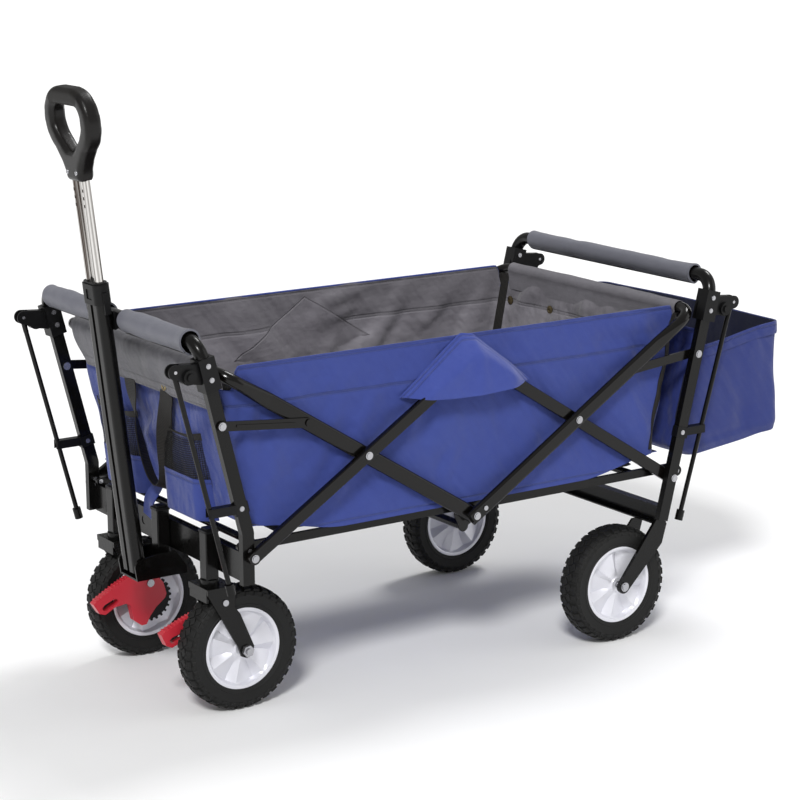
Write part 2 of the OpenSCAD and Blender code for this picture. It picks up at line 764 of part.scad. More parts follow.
module rear_crossbeam() {
  span = 2 * y_out_in;
  x0 = rpx(rear_post_low) - 4;
  color("#202022") difference() {
    translate([x0, -span / 2, rear_beam_low]) cube([16, span, rear_beam_h]);
    translate([x0 - 1, -span / 2 - 1, rear_beam_low + 2.5]) cube([14.5, span + 2, rear_beam_h - 5]);
  }
}

function leg_side(s) = [rear_x + s * 9.4, wheel_r - s * 7.4];
module leg_profile(top) {
  rx = rpx(rear_post_low);
  difference() {
    union() {
      polygon(concat(top, [[rx + 3, wheel_r + 64], leg_side(1), leg_side(-1)]));
      translate([rear_x, wheel_r]) circle(r = 12);
    }
    translate([rear_x, wheel_r]) circle(d = axle_d);
  }
}

module rear_wheel_legs() {
  rx = rpx(rear_post_low);
  c = post_w / 2 * cos(post_lean);
  s = post_w / 2 * sin(post_lean);
  color("#1b1b1c") mirror_y() {
    plate(y_out_in, y_out_in + fork_t + 2)
      leg_profile([[rx - c, rear_post_low + s], [rx + c, rear_post_low - s],
        [rx + c + 3, rear_post_low - 8]]);
    plate(rear_leg_in - fork_t, rear_leg_in)
      leg_profile([[rx - 12, rear_beam_low], [rx + 12, rear_beam_low]]);
  }
}

module rear_rivets() {
  y1 = y_out_in + post_t;
  color("#c9c9cc") mirror_y() {
    rivet(px, pivot_h, y_in_out - bar_t, y1, rivet_d);
    rivet(l1rx, link_z, y_out_in - fit - link_t, y1, rivet_d);
    y_cyl(floor_piv_r, floor_h, y_floor_r - floor_t / 2, y_out_in + 4, rivet_d);
    for (p = bracket_rivets(-rpx(bracket_h)))
      rivet(-p[0], p[1], y_post_out - push_d / 2 - bracket_wall, y_post_out + push_d / 2 + bracket_wall,
        small_rivet_d, small_head_t);
    y_cyl(rpole_x, rpole_piv_h, y_post_out - pole_arm_t / 2, y_post_out + pole_arm_t / 2, small_rivet_d);
    rivet(rpx(clip_h), clip_h, y_out_in, y1 + 2, small_rivet_d, 0.9 * layer_gap);
    rivet(rear_x, wheel_r, rear_leg_in - fork_t, y_out_in + fork_t + 2, axle_d, 4);
  }
}

// ---------- pull handle ----------
module at_handle() {
  translate([handle_x, 0, handle_h]) rotate([0, -handle_lean, 0]) children();
}

collar_low = handle_len - 22;
collar_top = handle_len + 10;
grip_base = collar_top + rod_out;
bar_dx = push_x - handle_x;
bar_dz = push_h - handle_h;
bar_lx = bar_dx * cos(handle_lean) + bar_dz * sin(handle_lean);
bar_lz = -bar_dx * sin(handle_lean) + bar_dz * cos(handle_lean);
groove_w = 8;
groove_t = 2.5;

// Oval with a groove down both broad faces, thinned by e all round
module handle_section(e) {
  difference() {
    rotate(90) stadium(handle_w - 2 * e, handle_t - 2 * e);
    for (s = [-1, 1]) translate([s * handle_t / 2, 0])
      square([2 * (groove_t + e), groove_w + 2 * e], center = true);
  }
}

module handle_tube() {
  color("#1b1b1c") at_handle() difference() {
    translate([0, 0, -10]) linear_extrude(handle_len + 10) handle_section(0);
    translate([0, 0, 14]) linear_extrude(handle_len) handle_section(tube_wall);
    rotate([90, 0, 0]) translate([0, 0, -handle_w]) cylinder(h = 2 * handle_w, d = rivet_d + 2 * pin_clear);
  }
}

module handle_collar() {
  color("#161617") at_handle() difference() {
    union() {
      translate([0, 0, collar_low]) linear_extrude(collar_top - collar_low)
        rotate(90) stadium(handle_w + 5, handle_t + 5);
      translate([0, 0, collar_top]) linear_extrude(3) rotate(90) stadium(handle_w, handle_t);
      for (s = [-1, 1]) translate([-5, s * (handle_w / 2 + 4) - 2.5, collar_low - 14]) cube([10, 5, 34]);
    }
    translate([0, 0, collar_low - 20]) linear_extrude(handle_len - collar_low + 20) handle_section(0);
    for (s = [-1, 1]) translate([0, s * rod_gap / 2, collar_low])
      cylinder(h = 60, d = rod_d + 2 * pin_clear);
    translate([-handle_t / 2 - 4, -8, collar_low + 8]) cube([3, 16, 16]);
  }
}

// Open hook behind the handle that rests on the push bar
module handle_clip() {
  r0 = push_d / 2 + fit;
  half = 24;
  color("#161617") at_handle() difference() {
    union() {
      translate([handle_t / 2, -half, bar_lz - 15]) cube([bar_lx - handle_t / 2, 2 * half, 30]);
    }
    y_cyl(bar_lx, bar_lz, -half - 1, half + 1, 2 * r0);
    for (s = [-1, 1]) translate([handle_t / 2 + 3, -half - 1, bar_lz + s * 20]) rotate([0, s * 30, 0])
      translate([0, 0, -5]) cube([20, 2 * half + 2, 10]);
  }
}

module handle_rods() {
  low = handle_len - 150;
  color("#c9c9cc") at_handle() {
    for (s = [-1, 1]) translate([0, s * rod_gap / 2, low]) difference() {
      cylinder(h = grip_base + 20 - low, d = rod_d);
      translate([0, 0, 2]) cylinder(h = grip_base - low, d = rod_d - 2 * tube_wall);
      for (i = [0:2]) translate([-rod_d / 2 - 1, -2, grip_base - low - 16 - 12 * i]) cube([2.2, 4, 5]);
    }
    translate([0, 0, low - 10]) linear_extrude(10) handle_section(tube_wall + fit);
  }
}

// Loop of the grip drawn in Y and Z, thinned by e
// Half width of the grip, from its neck (0) to its widest place (1)
function grip_half(t) = grip_neck_w / 2 + (grip_w - grip_neck_w) / 4 * (1 - cos(180 * t));
// Half width of the hole, from its foot (0) to its widest place (1)
function hole_half(t) = 6 + (grip_w / 2 - grip_rim - 6) * sin(90 * t);

// Drop-shaped outline of the grip, e inside its full size
module grip_outline(e) {
  zc = grip_base + grip_h - grip_r;
  low = grip_base + e;
  hole_low = grip_base + grip_neck_h - e;
  hole_w = grip_w - 2 * grip_rim + 2 * e;
  difference() {
    union() {
      rounded_cap(zc, grip_w / 2 - e, grip_r - e);
      polygon([for (s = [1, -1], t = [0 : 0.1 : 1])
        [s * (grip_half(s > 0 ? t : 1 - t) - e), low + (zc - low) * (s > 0 ? t : 1 - t)]]);
    }
    intersection() {
      translate([0, zc]) rounded(hole_w, 2 * (grip_r - grip_rim) + 2 * e, 20);
      translate([-hole_w / 2, zc - 0.01]) square([hole_w, grip_r]);
    }
    polygon([for (s = [1, -1], t = [0 : 0.1 : 1])
      [s * (hole_half(s > 0 ? t : 1 - t) + e), hole_low + (zc - hole_low) * (s > 0 ? t : 1 - t)]]);
  }
}

// Cap of the grip with corners of radius r, from height zc up
module rounded_cap(zc, half_w, r) {
  for (s = [-1, 1]) translate([s * (half_w - r), zc]) circle(r = r);
  translate([-half_w + r, zc - r]) square([2 * (half_w - r), 2 * r]);
}

module hand_grip() {
  color("#141415") at_handle() difference() {
    rotate([0, 0, 90]) rotate([90, 0, 0]) {
      translate([0, 0, -grip_t / 2 + 4]) linear_extrude(grip_t - 8) grip_outline(0);
      translate([0, 0, -grip_t / 2]) linear_extrude(grip_t) grip_outline(4);
    }
    for (s = [-1, 1]) translate([0, s * rod_gap / 2, 0]) cylinder(h = grip_base + 20, d = rod_d);
    for (s = [-1, 1]) translate([-grip_t, s * rod_gap / 2, grip_base + 15]) rotate([0, 90, 0])
      cylinder(h = grip_t / 2 + 2.5, d = 7);
  }
}

// ---------- casters and wheels ----------
fork_side = [[-21, fork_top], [-20.6, 201], [1, 163], [32, wheel_r + 6.5], [37, 92], [trail, 87.5],
  [57, 92], [trail + 13, wheel_r + 5.5], [36, 163], [26, 176], [29, fork_top]];
eyelet = [trail - 10.3, wheel_r + 34.4];
pedal_pin_d = 6;

// Parts of the near caster about its stem axis; side -1 is near and +1 is far
module at_caster(side) {
  translate([stem_x, side * caster_y, 0]) mirror([0, side > 0 ? 1 : 0, 0]) children();
}

module fork() {
  g = fork_gap;
  difference() {
    union() {
      for (s = [-1, 1]) plate(s > 0 ? g : -g - fork_t, s > 0 ? g + fork_t : -g) polygon(fork_side);
      translate([-21, -g, fork_top - fork_t]) cube([50, 2 * g, fork_t]);
      translate([-21, -g, fork_top - 22]) cube([fork_t, 2 * g, 20]);
      translate([0, 0, fork_top]) cylinder(h = stem_low - fork_top - fit, d = 30);
      translate([0, 0, fork_top]) cylinder(h = stem_low - fork_top + pin_len, d = swivel_d);
    }
    y_cyl(trail, wheel_r, -g - 10, g + 10, axle_d);
    y_cyl(eyelet[0], eyelet[1], 0, g + 10, pedal_pin_d);
  }
}

module fork_bolts() {
  g = fork_gap + fork_t;
  y_cyl(trail, wheel_r, -g - 9, g, axle_d);
  plate(-g - 6, -g) translate([trail, wheel_r])
    polygon([for (i = [0:5]) 9.8 * [cos(60 * i + 10), sin(60 * i + 10)]]);
  y_cyl(trail, wheel_r, g, g + low_head, 18);
  y_cyl(10, 185, -g - 2.5, -g, 10);
  y_cyl(10, 185, g, g + 2.5, 10);
  y_cyl(eyelet[0], eyelet[1], fork_gap, g + 0.5 + pedal_t, pedal_pin_d);
  y_cyl(eyelet[0], eyelet[1], g + 0.7 + pedal_t, g + 3 + pedal_t, 13);
  y_cyl(eyelet[0], eyelet[1], g + pedal_t, g + 1 + pedal_t, pedal_pin_d);
}

low_head = 2.5;

module caster_fork_near() {
  color("#202022") at_caster(-1) fork();
}

module caster_fork_far() {
  color("#202022") at_caster(1) fork();
}

module caster_bolts_near() {
  color("#c9c9cc") at_caster(-1) fork_bolts();
}

module caster_bolts_far() {
  color("#c9c9cc") at_caster(1) fork_bolts();
}

// Tyre round the Y axis through (x, y, wheel_r)
module tyre(x, y) {
  r = wheel_d / 2;
  ri = rim_d / 2;
  h = tyre_w / 2;
  color("#191919") translate([x, y, wheel_r]) rotate([90, 0, 0]) rotate_extrude($fn = 96)
    polygon([[ri, -h + 6], [ri + 7, -h + 1.5], [r - 14, -h], [r - 6, -h + 2.5], [r - 1.5, -h + 8],
      [r, -6], [r, 6], [r - 1.5, h - 8], [r - 6, h - 2.5], [r - 14, h], [ri + 7, h - 1.5], [ri, h - 6]]);
}

hub_d = 26;
face = 18.5;
module rim(x, y) {
  ri = rim_d / 2;
  e = 2.5;
  color("#d8d9dc") translate([x, y, wheel_r]) rotate([90, 0, 0]) {
    difference() {
      union() {
        rotate_extrude($fn = 96) polygon([[hub_d / 2 - 1, -face + 5], [22, -face + 5], [ri - 9, -face + 7],
          [ri - 7, -face], [ri - 1, -face], [ri, -face + 3], [ri, face - 3], [ri - 1, face], [ri - 7, face],
          [ri - 9, face - 7], [22, face - 5], [hub_d / 2 - 1, face - 5]]);
        translate([0, 0, -fork_gap + 0.5]) cylinder(h = 2 * fork_gap - 1, d = hub_d);
        for (i = [0:rim_facets - 1], s = [-1, 1]) rotate(i * 360 / rim_facets)
          translate([0, 0, s > 0 ? face - 7 : -face + 7 - e]) linear_extrude(e)
          polygon([[20, -3], [20, 6], [ri - 9, 17], [ri - 9, 9]]);
      }
      translate([0, 0, -fork_gap]) cylinder(h = 2 * fork_gap, d = axle_d + 2 * pin_clear);
    }
  }
}

module tyre_front_near() {
  tyre(caster_x, -caster_y);
}

module tyre_front_far() {
  tyre(caster_x, caster_y);
}

module tyre_rear_near() {
  tyre(rear_x, -rear_wheel_y);
}

module tyre_rear_far() {
  tyre(rear_x, rear_wheel_y);
}

module rim_front_near() {
  rim(caster_x, -caster_y);
}

module rim_front_far() {
  rim(caster_x, caster_y);
}

module rim_rear_near() {
  rim(rear_x, -rear_wheel_y);
}

module rim_rear_far() {
  rim(rear_x, rear_wheel_y);
}

// Toothed ring on the inner face of a front wheel; a gap between teeth stands at gap_at
gap_at = 159.3;
pawl_d = 4.4;
module toothed_ring() {
  p = 360 / brake_teeth;
  difference() {
    plate(face, face + 6.5) union() {
      circle(r = brake_r - 4, $fn = 96);
      for (i = [0:brake_teeth - 1]) rotate(gap_at + p / 2 + i * p)
        polygon([[brake_r - 8, -2.9], [brake_r, -1.6], [brake_r, 1.6], [brake_r - 8, 2.9]]);
    }
    y_cyl(0, 0, face - 1, face + 10, hub_d);
  }
}

module brake_ring_near() {
  color("#2a2a2c") at_caster(-1) translate([trail, 0, wheel_r]) toothed_ring();
}

module brake_ring_far() {
  color("#2a2a2c") at_caster(1) translate([trail, 0, wheel_r]) toothed_ring();
}

// Foot pedal beside the inner fork leg, turned by a about its eyelet, with the stud that
// drops between the teeth
pedal_side = [[-115.6, 15.3], [-106.4, 22], [-72, 41], [-36.8, 56.6], [-18, 56], [-1.6, 50], [13.7, 31.8],
  [19.6, 11.1], [16.8, 4.1], [-0.9, -9.8], [-11.8, -22.5], [-19, -35.8], [-28.2, -36.5], [-42.2, -25.2],
  [-47.8, 1.4], [-55.4, 6.5], [-76.1, 4.3], [-94.5, -5.6], [-104.8, -2.4]];
pedal_slot = [[-100, 6], [-97, 1], [-90, 1.5], [-73, 9.5], [-70, 14], [-73, 18], [-79, 18], [-96, 11]];
stud = [-39, 16.6];
module pedal(a) {
  y0 = fork_gap + fork_t + 0.5;
  w = [trail, wheel_r];
  translate([eyelet[0], 0, eyelet[1]]) rotate([0, a, 0]) translate([-eyelet[0], 0, -eyelet[1]])
    difference() {
      union() {
        plate(y0, y0 + pedal_t) difference() {
          polygon([for (p = pedal_side) w + p]);
          polygon([for (p = pedal_slot) w + p]);
        }
        y_cyl(w[0] + stud[0], w[1] + stud[1], face + 1, y0 + 2, pawl_d);
      }
      y_cyl(eyelet[0], eyelet[1], 0, 100, pedal_pin_d + 2 * pin_clear);
      // room for the head of the axle as the pedal swings
      y_cyl(w[0], w[1], y0 - 1, fork_gap + fork_t + low_head + 1, 34);
    }
}

pedal_raise = 8;
module brake_pedal_near() {
  color("#c42b2a") at_caster(-1) pedal(pedal_raise);
}

module brake_pedal_far() {
  color("#c42b2a") at_caster(1) pedal(0);
}

// ---------- canopy poles ----------
module pole_front_near() {
  color("#1b1b1c") pole(fpole_x, pole_piv_h, -y_post_in, fpole_a, front_pole_len);
}

module pole_front_far() {
  color("#1b1b1c") pole(fpole_x, pole_piv_h, y_post_in, fpole_a, front_pole_len);
}

module pole_rear_near() {
  color("#1b1b1c") mirror([1, 0, 0]) pole(-rpole_x, rpole_piv_h, -y_post_out, rpole_a, rear_pole_len);
}

module pole_rear_far() {
  color("#1b1b1c") mirror([1, 0, 0]) pole(-rpole_x, rpole_piv_h, y_post_out, rpole_a, rear_pole_len);
}

// ---------- fabric ----------
panel_slope = 0.2;
panel_top_x = px + 38;
end_low = basket_low + 15;
corner_x = px + 13;
corner_z = basket_top - 33;
floor_pad_low = floor_h + floor_w / 2 + 0.6;
half_gap = 0.3;
// Outer face of the front panel as a function of height
function panel_x(z) = -panel_top_x + (basket_top - 2 - z) * panel_slope;

// Front half of the basket, hung from a hoop's cross tube that is clear for |y| < tube_half
module basket_half(tube_half) {
  t = cloth_t;
  sleeve_half = tube_half - 5;
  floor_top = floor_pad_low + 12;
  difference() {
    plate(-basket_y, basket_y) polygon([[-half_gap, floor_pad_low], [-half_gap, basket_top],
      [-corner_x, basket_top], [-corner_x, corner_z], [panel_x(corner_z), corner_z],
      [panel_x(end_low), end_low], [panel_x(end_low), floor_pad_low]]);
    plate(-basket_y + t, basket_y - t) polygon([[1, floor_top], [1, basket_top + 1],
      [panel_x(basket_top + 1) + t, basket_top + 1], [panel_x(end_low) + t, end_low],
      [panel_x(end_low) + t, floor_top]]);
  }
  difference() {
    union() {
      plate(-sleeve_half, sleeve_half) polygon([[panel_x(corner_z - 4), corner_z - 4],
        [panel_x(corner_z - 4) + t, corner_z - 4], [hoop_end_x + 9, hoop_end_z - 2],
        [hoop_end_x + 3, hoop_end_z - 2]]);
      y_cyl(hoop_end_x, hoop_end_z, -sleeve_half, sleeve_half, hoop_d + 2 * t);
    }
    y_cyl(hoop_end_x, hoop_end_z, -basket_y, basket_y, hoop_d + 2 * pin_clear);
  }
}

module basket_front() {
  color("#3b4a9a") basket_half(y_arm_in - hoop_bend);
}

module basket_rear() {
  color("#3b4a9a") mirror([1, 0, 0]) basket_half(y_arm_out - hoop_bend);
}

// Pocket that bulges by b from the front panel
module pocket(y0, y1, z0, z1, b) {
  plate(y0, y1) polygon([[panel_x(z0), z0], [panel_x(z0) - b, z0 + b], [panel_x(z1) - b, z1 - 3],
    [panel_x(z1) - 3, z1], [panel_x(z1), z1]]);
}

near_pocket_out = 164;
near_pocket_in = 37;
near_pocket_low = end_low + 19;
near_pocket_h = 107;
near_pocket_bulge = 10;
far_pocket_in = 125;
far_pocket_out = 193;
far_pocket_low = end_low + 2;
far_pocket_h = 87;
far_pocket_bulge = 8;
module front_pockets() {
  color("#2c2c33") {
    pocket(-near_pocket_out, -near_pocket_in, near_pocket_low, near_pocket_low + near_pocket_h,
      near_pocket_bulge);
    pocket(far_pocket_in, far_pocket_out, far_pocket_low, far_pocket_low + far_pocket_h, far_pocket_bulge);
  }
}

// Webbing loop and pull tab in front of the front panel
strap_t = 2;
loop_y = -22;
loop_w = 26;
loop_low = end_low + 12;
loop_top = loop_low + 162;
loop_leg_w = 7;
tab_y = 2;
tab_w = 44;
tab_top = end_low + 16;
tab_low = end_low - 36;
module front_straps() {
  gap_w = loop_w - 2 * loop_leg_w;
  gap_low = loop_low + 10;
  gap_top = loop_top - 22;
  color("#77747a") difference() {
    plate(loop_y - loop_w / 2, loop_y + loop_w / 2) polygon([for (z = [loop_low, loop_top]) [panel_x(z), z],
      for (z = [loop_top, loop_low]) [panel_x(z) - strap_t, z]]);
    plate(loop_y - gap_w / 2, loop_y + gap_w / 2) polygon([for (z = [gap_low, gap_top]) [panel_x(z) + 5, z],
      for (z = [gap_top, gap_low]) [panel_x(z) - 9, z]]);
  }
  color("#3b4a9a") plate(tab_y, tab_y + tab_w) polygon([[panel_x(tab_top), tab_top],
    [panel_x(tab_top) - strap_t, tab_top], [panel_x(end_low) - strap_t, end_low],
    [panel_x(end_low) - strap_t, tab_low], [panel_x(end_low), tab_low], [panel_x(end_low), end_low]]);
}

// Flaps that fold over the side walls and cover the top joints
module side_flaps() {
  y0 = y_out_in + bar_t + 3;
  t = 2.3;
  z1 = basket_top + half_gap;
  color("#3b4a9a") mirror_y() {
    plate(y0, y0 + t) polygon([[-135, 486], [-48, 477.5], [60, 480], [117, 484.5], [24, z1 + t],
      [-36, z1 + t]]);
    translate([-36, basket_y - cloth_t, z1]) cube([60, y0 + t - basket_y + cloth_t, t]);
  }
}

// Open bag behind the rear posts, buttoned to them
function bag_front(z) = rpx(z) + bag_gap;
bag_gap = 18;
bag_back = bag_front(bag_top) + bag_depth;
bag_fold = 14;
wing_low = clip_h + 18;
wing_top = link_z - 40;
module rear_bag() {
  t = cloth_t;
  mouth = bag_top - 30;
  over = bag_top + 9;
  belly = bag_back + bag_bulge;
  foot_x = bag_front(bag_low) + 60;
  fold_z = bag_low + bag_fold;
  outline = [[bag_front(fold_z), fold_z], [foot_x, bag_low], [belly - 10, bag_low + 6],
    [belly, bag_low + 20], [bag_back, bag_top], [bag_front(mouth) + 15, mouth],
    [bag_front(bag_top), bag_top]];
  inner = [[bag_front(fold_z) + t, fold_z + t], [foot_x, bag_low + t], [belly - 10 - t, bag_low + 6 + t],
    [belly - t, bag_low + 20], [bag_back - t, over], [bag_front(over) + t, over]];
  color("#3b4a9a") {
    difference() {
      plate(-bag_half, bag_half) polygon(outline);
      plate(-bag_half + t, bag_half - t) polygon(inner);
    }
    mirror_y() {
      plate(y_out_in - t, y_out_in) polygon([[rpx(wing_low) + 2, wing_low],
        [bag_front(wing_low) + t, wing_low], [bag_front(wing_top) + t, wing_top],
        [rpx(wing_top) + 2, wing_top]]);
      plate(bag_half - t, y_out_in) polygon([[bag_front(wing_low), wing_low],
        [bag_front(wing_low) + t, wing_low], [bag_front(wing_top) + t, wing_top],
        [bag_front(wing_top), wing_top]]);
    }
  }
}

front_posts();
front_push_bar();
front_grip_sleeves();
front_pole_brackets();
front_pole_clips();
front_crossbeam();
caster_stems();
stem_caps();
front_rivets();
handle_yoke();
side_bars_front();
side_bar_rivets();
hoop_front();
hoop_front_rivets();
basket_front();
front_pockets();
front_straps();
side_bars_rear();
side_flaps();
hoop_rear();
hoop_rear_rivets();
basket_rear();
rear_posts();
rear_push_bar();
rear_grip_sleeve();
rear_pole_brackets();
rear_pole_clips();
rear_crossbeam();
rear_wheel_legs();
rear_rivets();
rear_bag();
links_front();
links_rear();
floor_frame_front();
floor_frame_rear();
handle_tube();
handle_collar();
handle_clip();
handle_rods();
hand_grip();
caster_fork_near();
caster_fork_far();
caster_bolts_near();
caster_bolts_far();
tyre_front_near();
tyre_front_far();
tyre_rear_near();
tyre_rear_far();
rim_front_near();
rim_front_far();
rim_rear_near();
rim_rear_far();
brake_ring_near();
brake_ring_far();
brake_pedal_near();
brake_pedal_far();
pole_front_near();
pole_front_far();
pole_rear_near();
pole_rear_far();
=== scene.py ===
"""Dresses the folding wagon: fabric, grips, wheels, pedals, finishes, studio and camera.

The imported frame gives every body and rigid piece. This script replaces the plain soft solids by
modelled cloth, gives the wheels and the grip their finished forms, and paints every surface.
Lengths in the classes are millimetres in the frame's axes: +X to the rear bag, +Y to the far side.
"""

from __future__ import annotations

import json
import logging
import math
import random
from contextlib import contextmanager
from dataclasses import dataclass
from enum import Enum
from typing import Any, Callable, Iterator, Sequence

import bpy
from mathutils import Matrix, Vector

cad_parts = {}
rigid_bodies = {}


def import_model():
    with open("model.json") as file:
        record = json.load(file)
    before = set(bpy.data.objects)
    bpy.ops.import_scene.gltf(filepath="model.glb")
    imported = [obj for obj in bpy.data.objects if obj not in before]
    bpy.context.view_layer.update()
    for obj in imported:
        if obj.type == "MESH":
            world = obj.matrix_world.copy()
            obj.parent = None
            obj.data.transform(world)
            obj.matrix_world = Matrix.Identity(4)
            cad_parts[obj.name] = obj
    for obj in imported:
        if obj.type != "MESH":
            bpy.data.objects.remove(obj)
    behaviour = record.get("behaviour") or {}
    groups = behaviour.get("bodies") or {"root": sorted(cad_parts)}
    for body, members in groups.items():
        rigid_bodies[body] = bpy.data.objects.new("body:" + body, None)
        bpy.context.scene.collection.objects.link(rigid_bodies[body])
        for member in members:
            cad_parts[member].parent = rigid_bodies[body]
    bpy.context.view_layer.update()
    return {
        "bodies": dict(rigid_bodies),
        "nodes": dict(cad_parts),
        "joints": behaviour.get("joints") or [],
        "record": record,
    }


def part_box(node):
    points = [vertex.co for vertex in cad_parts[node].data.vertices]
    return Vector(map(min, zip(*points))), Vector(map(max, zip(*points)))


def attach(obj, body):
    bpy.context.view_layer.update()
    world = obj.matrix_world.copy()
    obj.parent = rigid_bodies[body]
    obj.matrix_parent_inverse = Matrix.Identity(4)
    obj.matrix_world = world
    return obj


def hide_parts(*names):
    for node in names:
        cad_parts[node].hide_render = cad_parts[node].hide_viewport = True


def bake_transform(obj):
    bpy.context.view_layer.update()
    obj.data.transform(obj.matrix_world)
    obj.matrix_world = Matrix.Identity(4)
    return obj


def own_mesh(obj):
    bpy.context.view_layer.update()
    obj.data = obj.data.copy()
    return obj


LOG = logging.getLogger("wagon")
MM = 0.001
UP = Vector((0.0, 0.0, 1.0))
HANDLE_LEAN = 6.4
RGB = tuple[float, float, float]
Rows = list[list[Vector]]


# ---------------------------------------------------------------- numbers


def mix(a: float, b: float, t: float) -> float:
    """A value between a and b."""
    return a + (b - a) * t


def ease(t: float) -> float:
    """A smooth step from 0 to 1."""
    t = min(1.0, max(0.0, t))
    return t * t * (3.0 - 2.0 * t)


def spread(low: float, high: float, count: int) -> list[float]:
    """Evenly spaced values from low to high, both included."""
    return [mix(low, high, i / (count - 1)) for i in range(count)]


def colour(code: str) -> RGB:
    """A linear colour from a display code such as '3b4a9a'."""
    channels = [int(code[i : i + 2], 16) / 255.0 for i in (0, 2, 4)]
    return tuple(c / 12.92 if c <= 0.04045 else ((c + 0.055) / 1.055) ** 2.4 for c in channels)


class Creases:
    """Soft folds on a cloth, each a short ridge laid across its flat pattern."""

    def __init__(self, seed: int, count: int, size: tuple[float, float], depth: float, lean: float) -> None:
        """Places the folds.

        Args:
            seed: start of the fixed random row.
            count: how many folds.
            size: width and height of the flat pattern, mm.
            depth: greatest height of a fold, mm.
            lean: angle of the folds to the width, in degrees.
        """
        pick = random.Random(seed)
        self.folds = []
        for _ in range(count):
            angle = math.radians(lean + pick.uniform(-28.0, 28.0))
            self.folds.append(
                (
                    pick.uniform(0.0, size[0]),
                    pick.uniform(0.1, 0.9) * size[1],
                    math.cos(angle),
                    math.sin(angle),
                    pick.uniform(0.1, 0.38) * size[1],
                    pick.uniform(9.0, 24.0),
                    pick.choice((-1.0, 0.8)) * pick.uniform(0.35, 1.0) * depth,
                )
            )

    def at(self, u: float, v: float) -> float:
        """Height of the cloth over its smooth form, mm.

        Args:
            u: place along the width, mm.
            v: place down the height, mm.

        Returns:
            The sum of all the folds there.
        """
        height = 0.0
        for cu, cv, c, s, length, width, depth in self.folds:
            along = (u - cu) * c + (v - cv) * s
            if abs(along) > 2.6 * length:
                continue
            across = (v - cv) * c - (u - cu) * s
            height += depth * math.exp(-((along / length) ** 2) - (across / width) ** 2)
        return height


def held_between(height: float, low: float, high: float) -> float:
    """A height eased into a range, so that folds keep their shape near its ends.

    Args:
        height: the free height.
        low: the lowest height, below 0.
        high: the highest height.

    Returns:
        The eased height.
    """
    if height > 0.0:
        return high * math.tanh(height / high)
    return low * math.tanh(height / low)


# ---------------------------------------------------------------- shader maths


class Value:
    """A number inside a material, on which Python arithmetic adds Math nodes."""

    def __init__(self, paint: "Paint", socket: Any) -> None:
        """Wraps an output socket of the paint's tree."""
        self.paint = paint
        self.socket = socket

    def math(self, operation: str, *others: Any, swap: bool = False) -> "Value":
        """Adds one Math node.

        Args:
            operation: the node's operation.
            others: further numbers or values.
            swap: whether this value goes second.

        Returns:
            The node's result.
        """
        terms = [*others, self] if swap else [self, *others]
        return self.paint.value("ShaderNodeMath", {"operation": operation}, dict(enumerate(terms)))

    def __add__(self, other: Any) -> "Value":
        """Sum."""
        return self.math("ADD", other)

    __radd__ = __add__

    def __sub__(self, other: Any) -> "Value":
        """Difference."""
        return self.math("SUBTRACT", other)

    def __rsub__(self, other: Any) -> "Value":
        """Difference from a number."""
        return self.math("SUBTRACT", other, swap=True)

    def __mul__(self, other: Any) -> "Value":
        """Product."""
        return self.math("MULTIPLY", other)

    __rmul__ = __mul__

    def __truediv__(self, other: Any) -> "Value":
        """Quotient."""
        return self.math("DIVIDE", other)

    def __lt__(self, other: Any) -> "Value":
        """1 where this is less."""
        return self.math("LESS_THAN", other)

    def size(self) -> "Value":
        """Absolute value."""
        return self.math("ABSOLUTE")

    def part(self) -> "Value":
        """Part after the decimal point."""
        return self.math("FRACT")

    def wave(self) -> "Value":
        """Sine."""
        return self.math("SINE")

    def most(self, other: Any) -> "Value":
        """The larger of two."""
        return self.math("MAXIMUM", other)


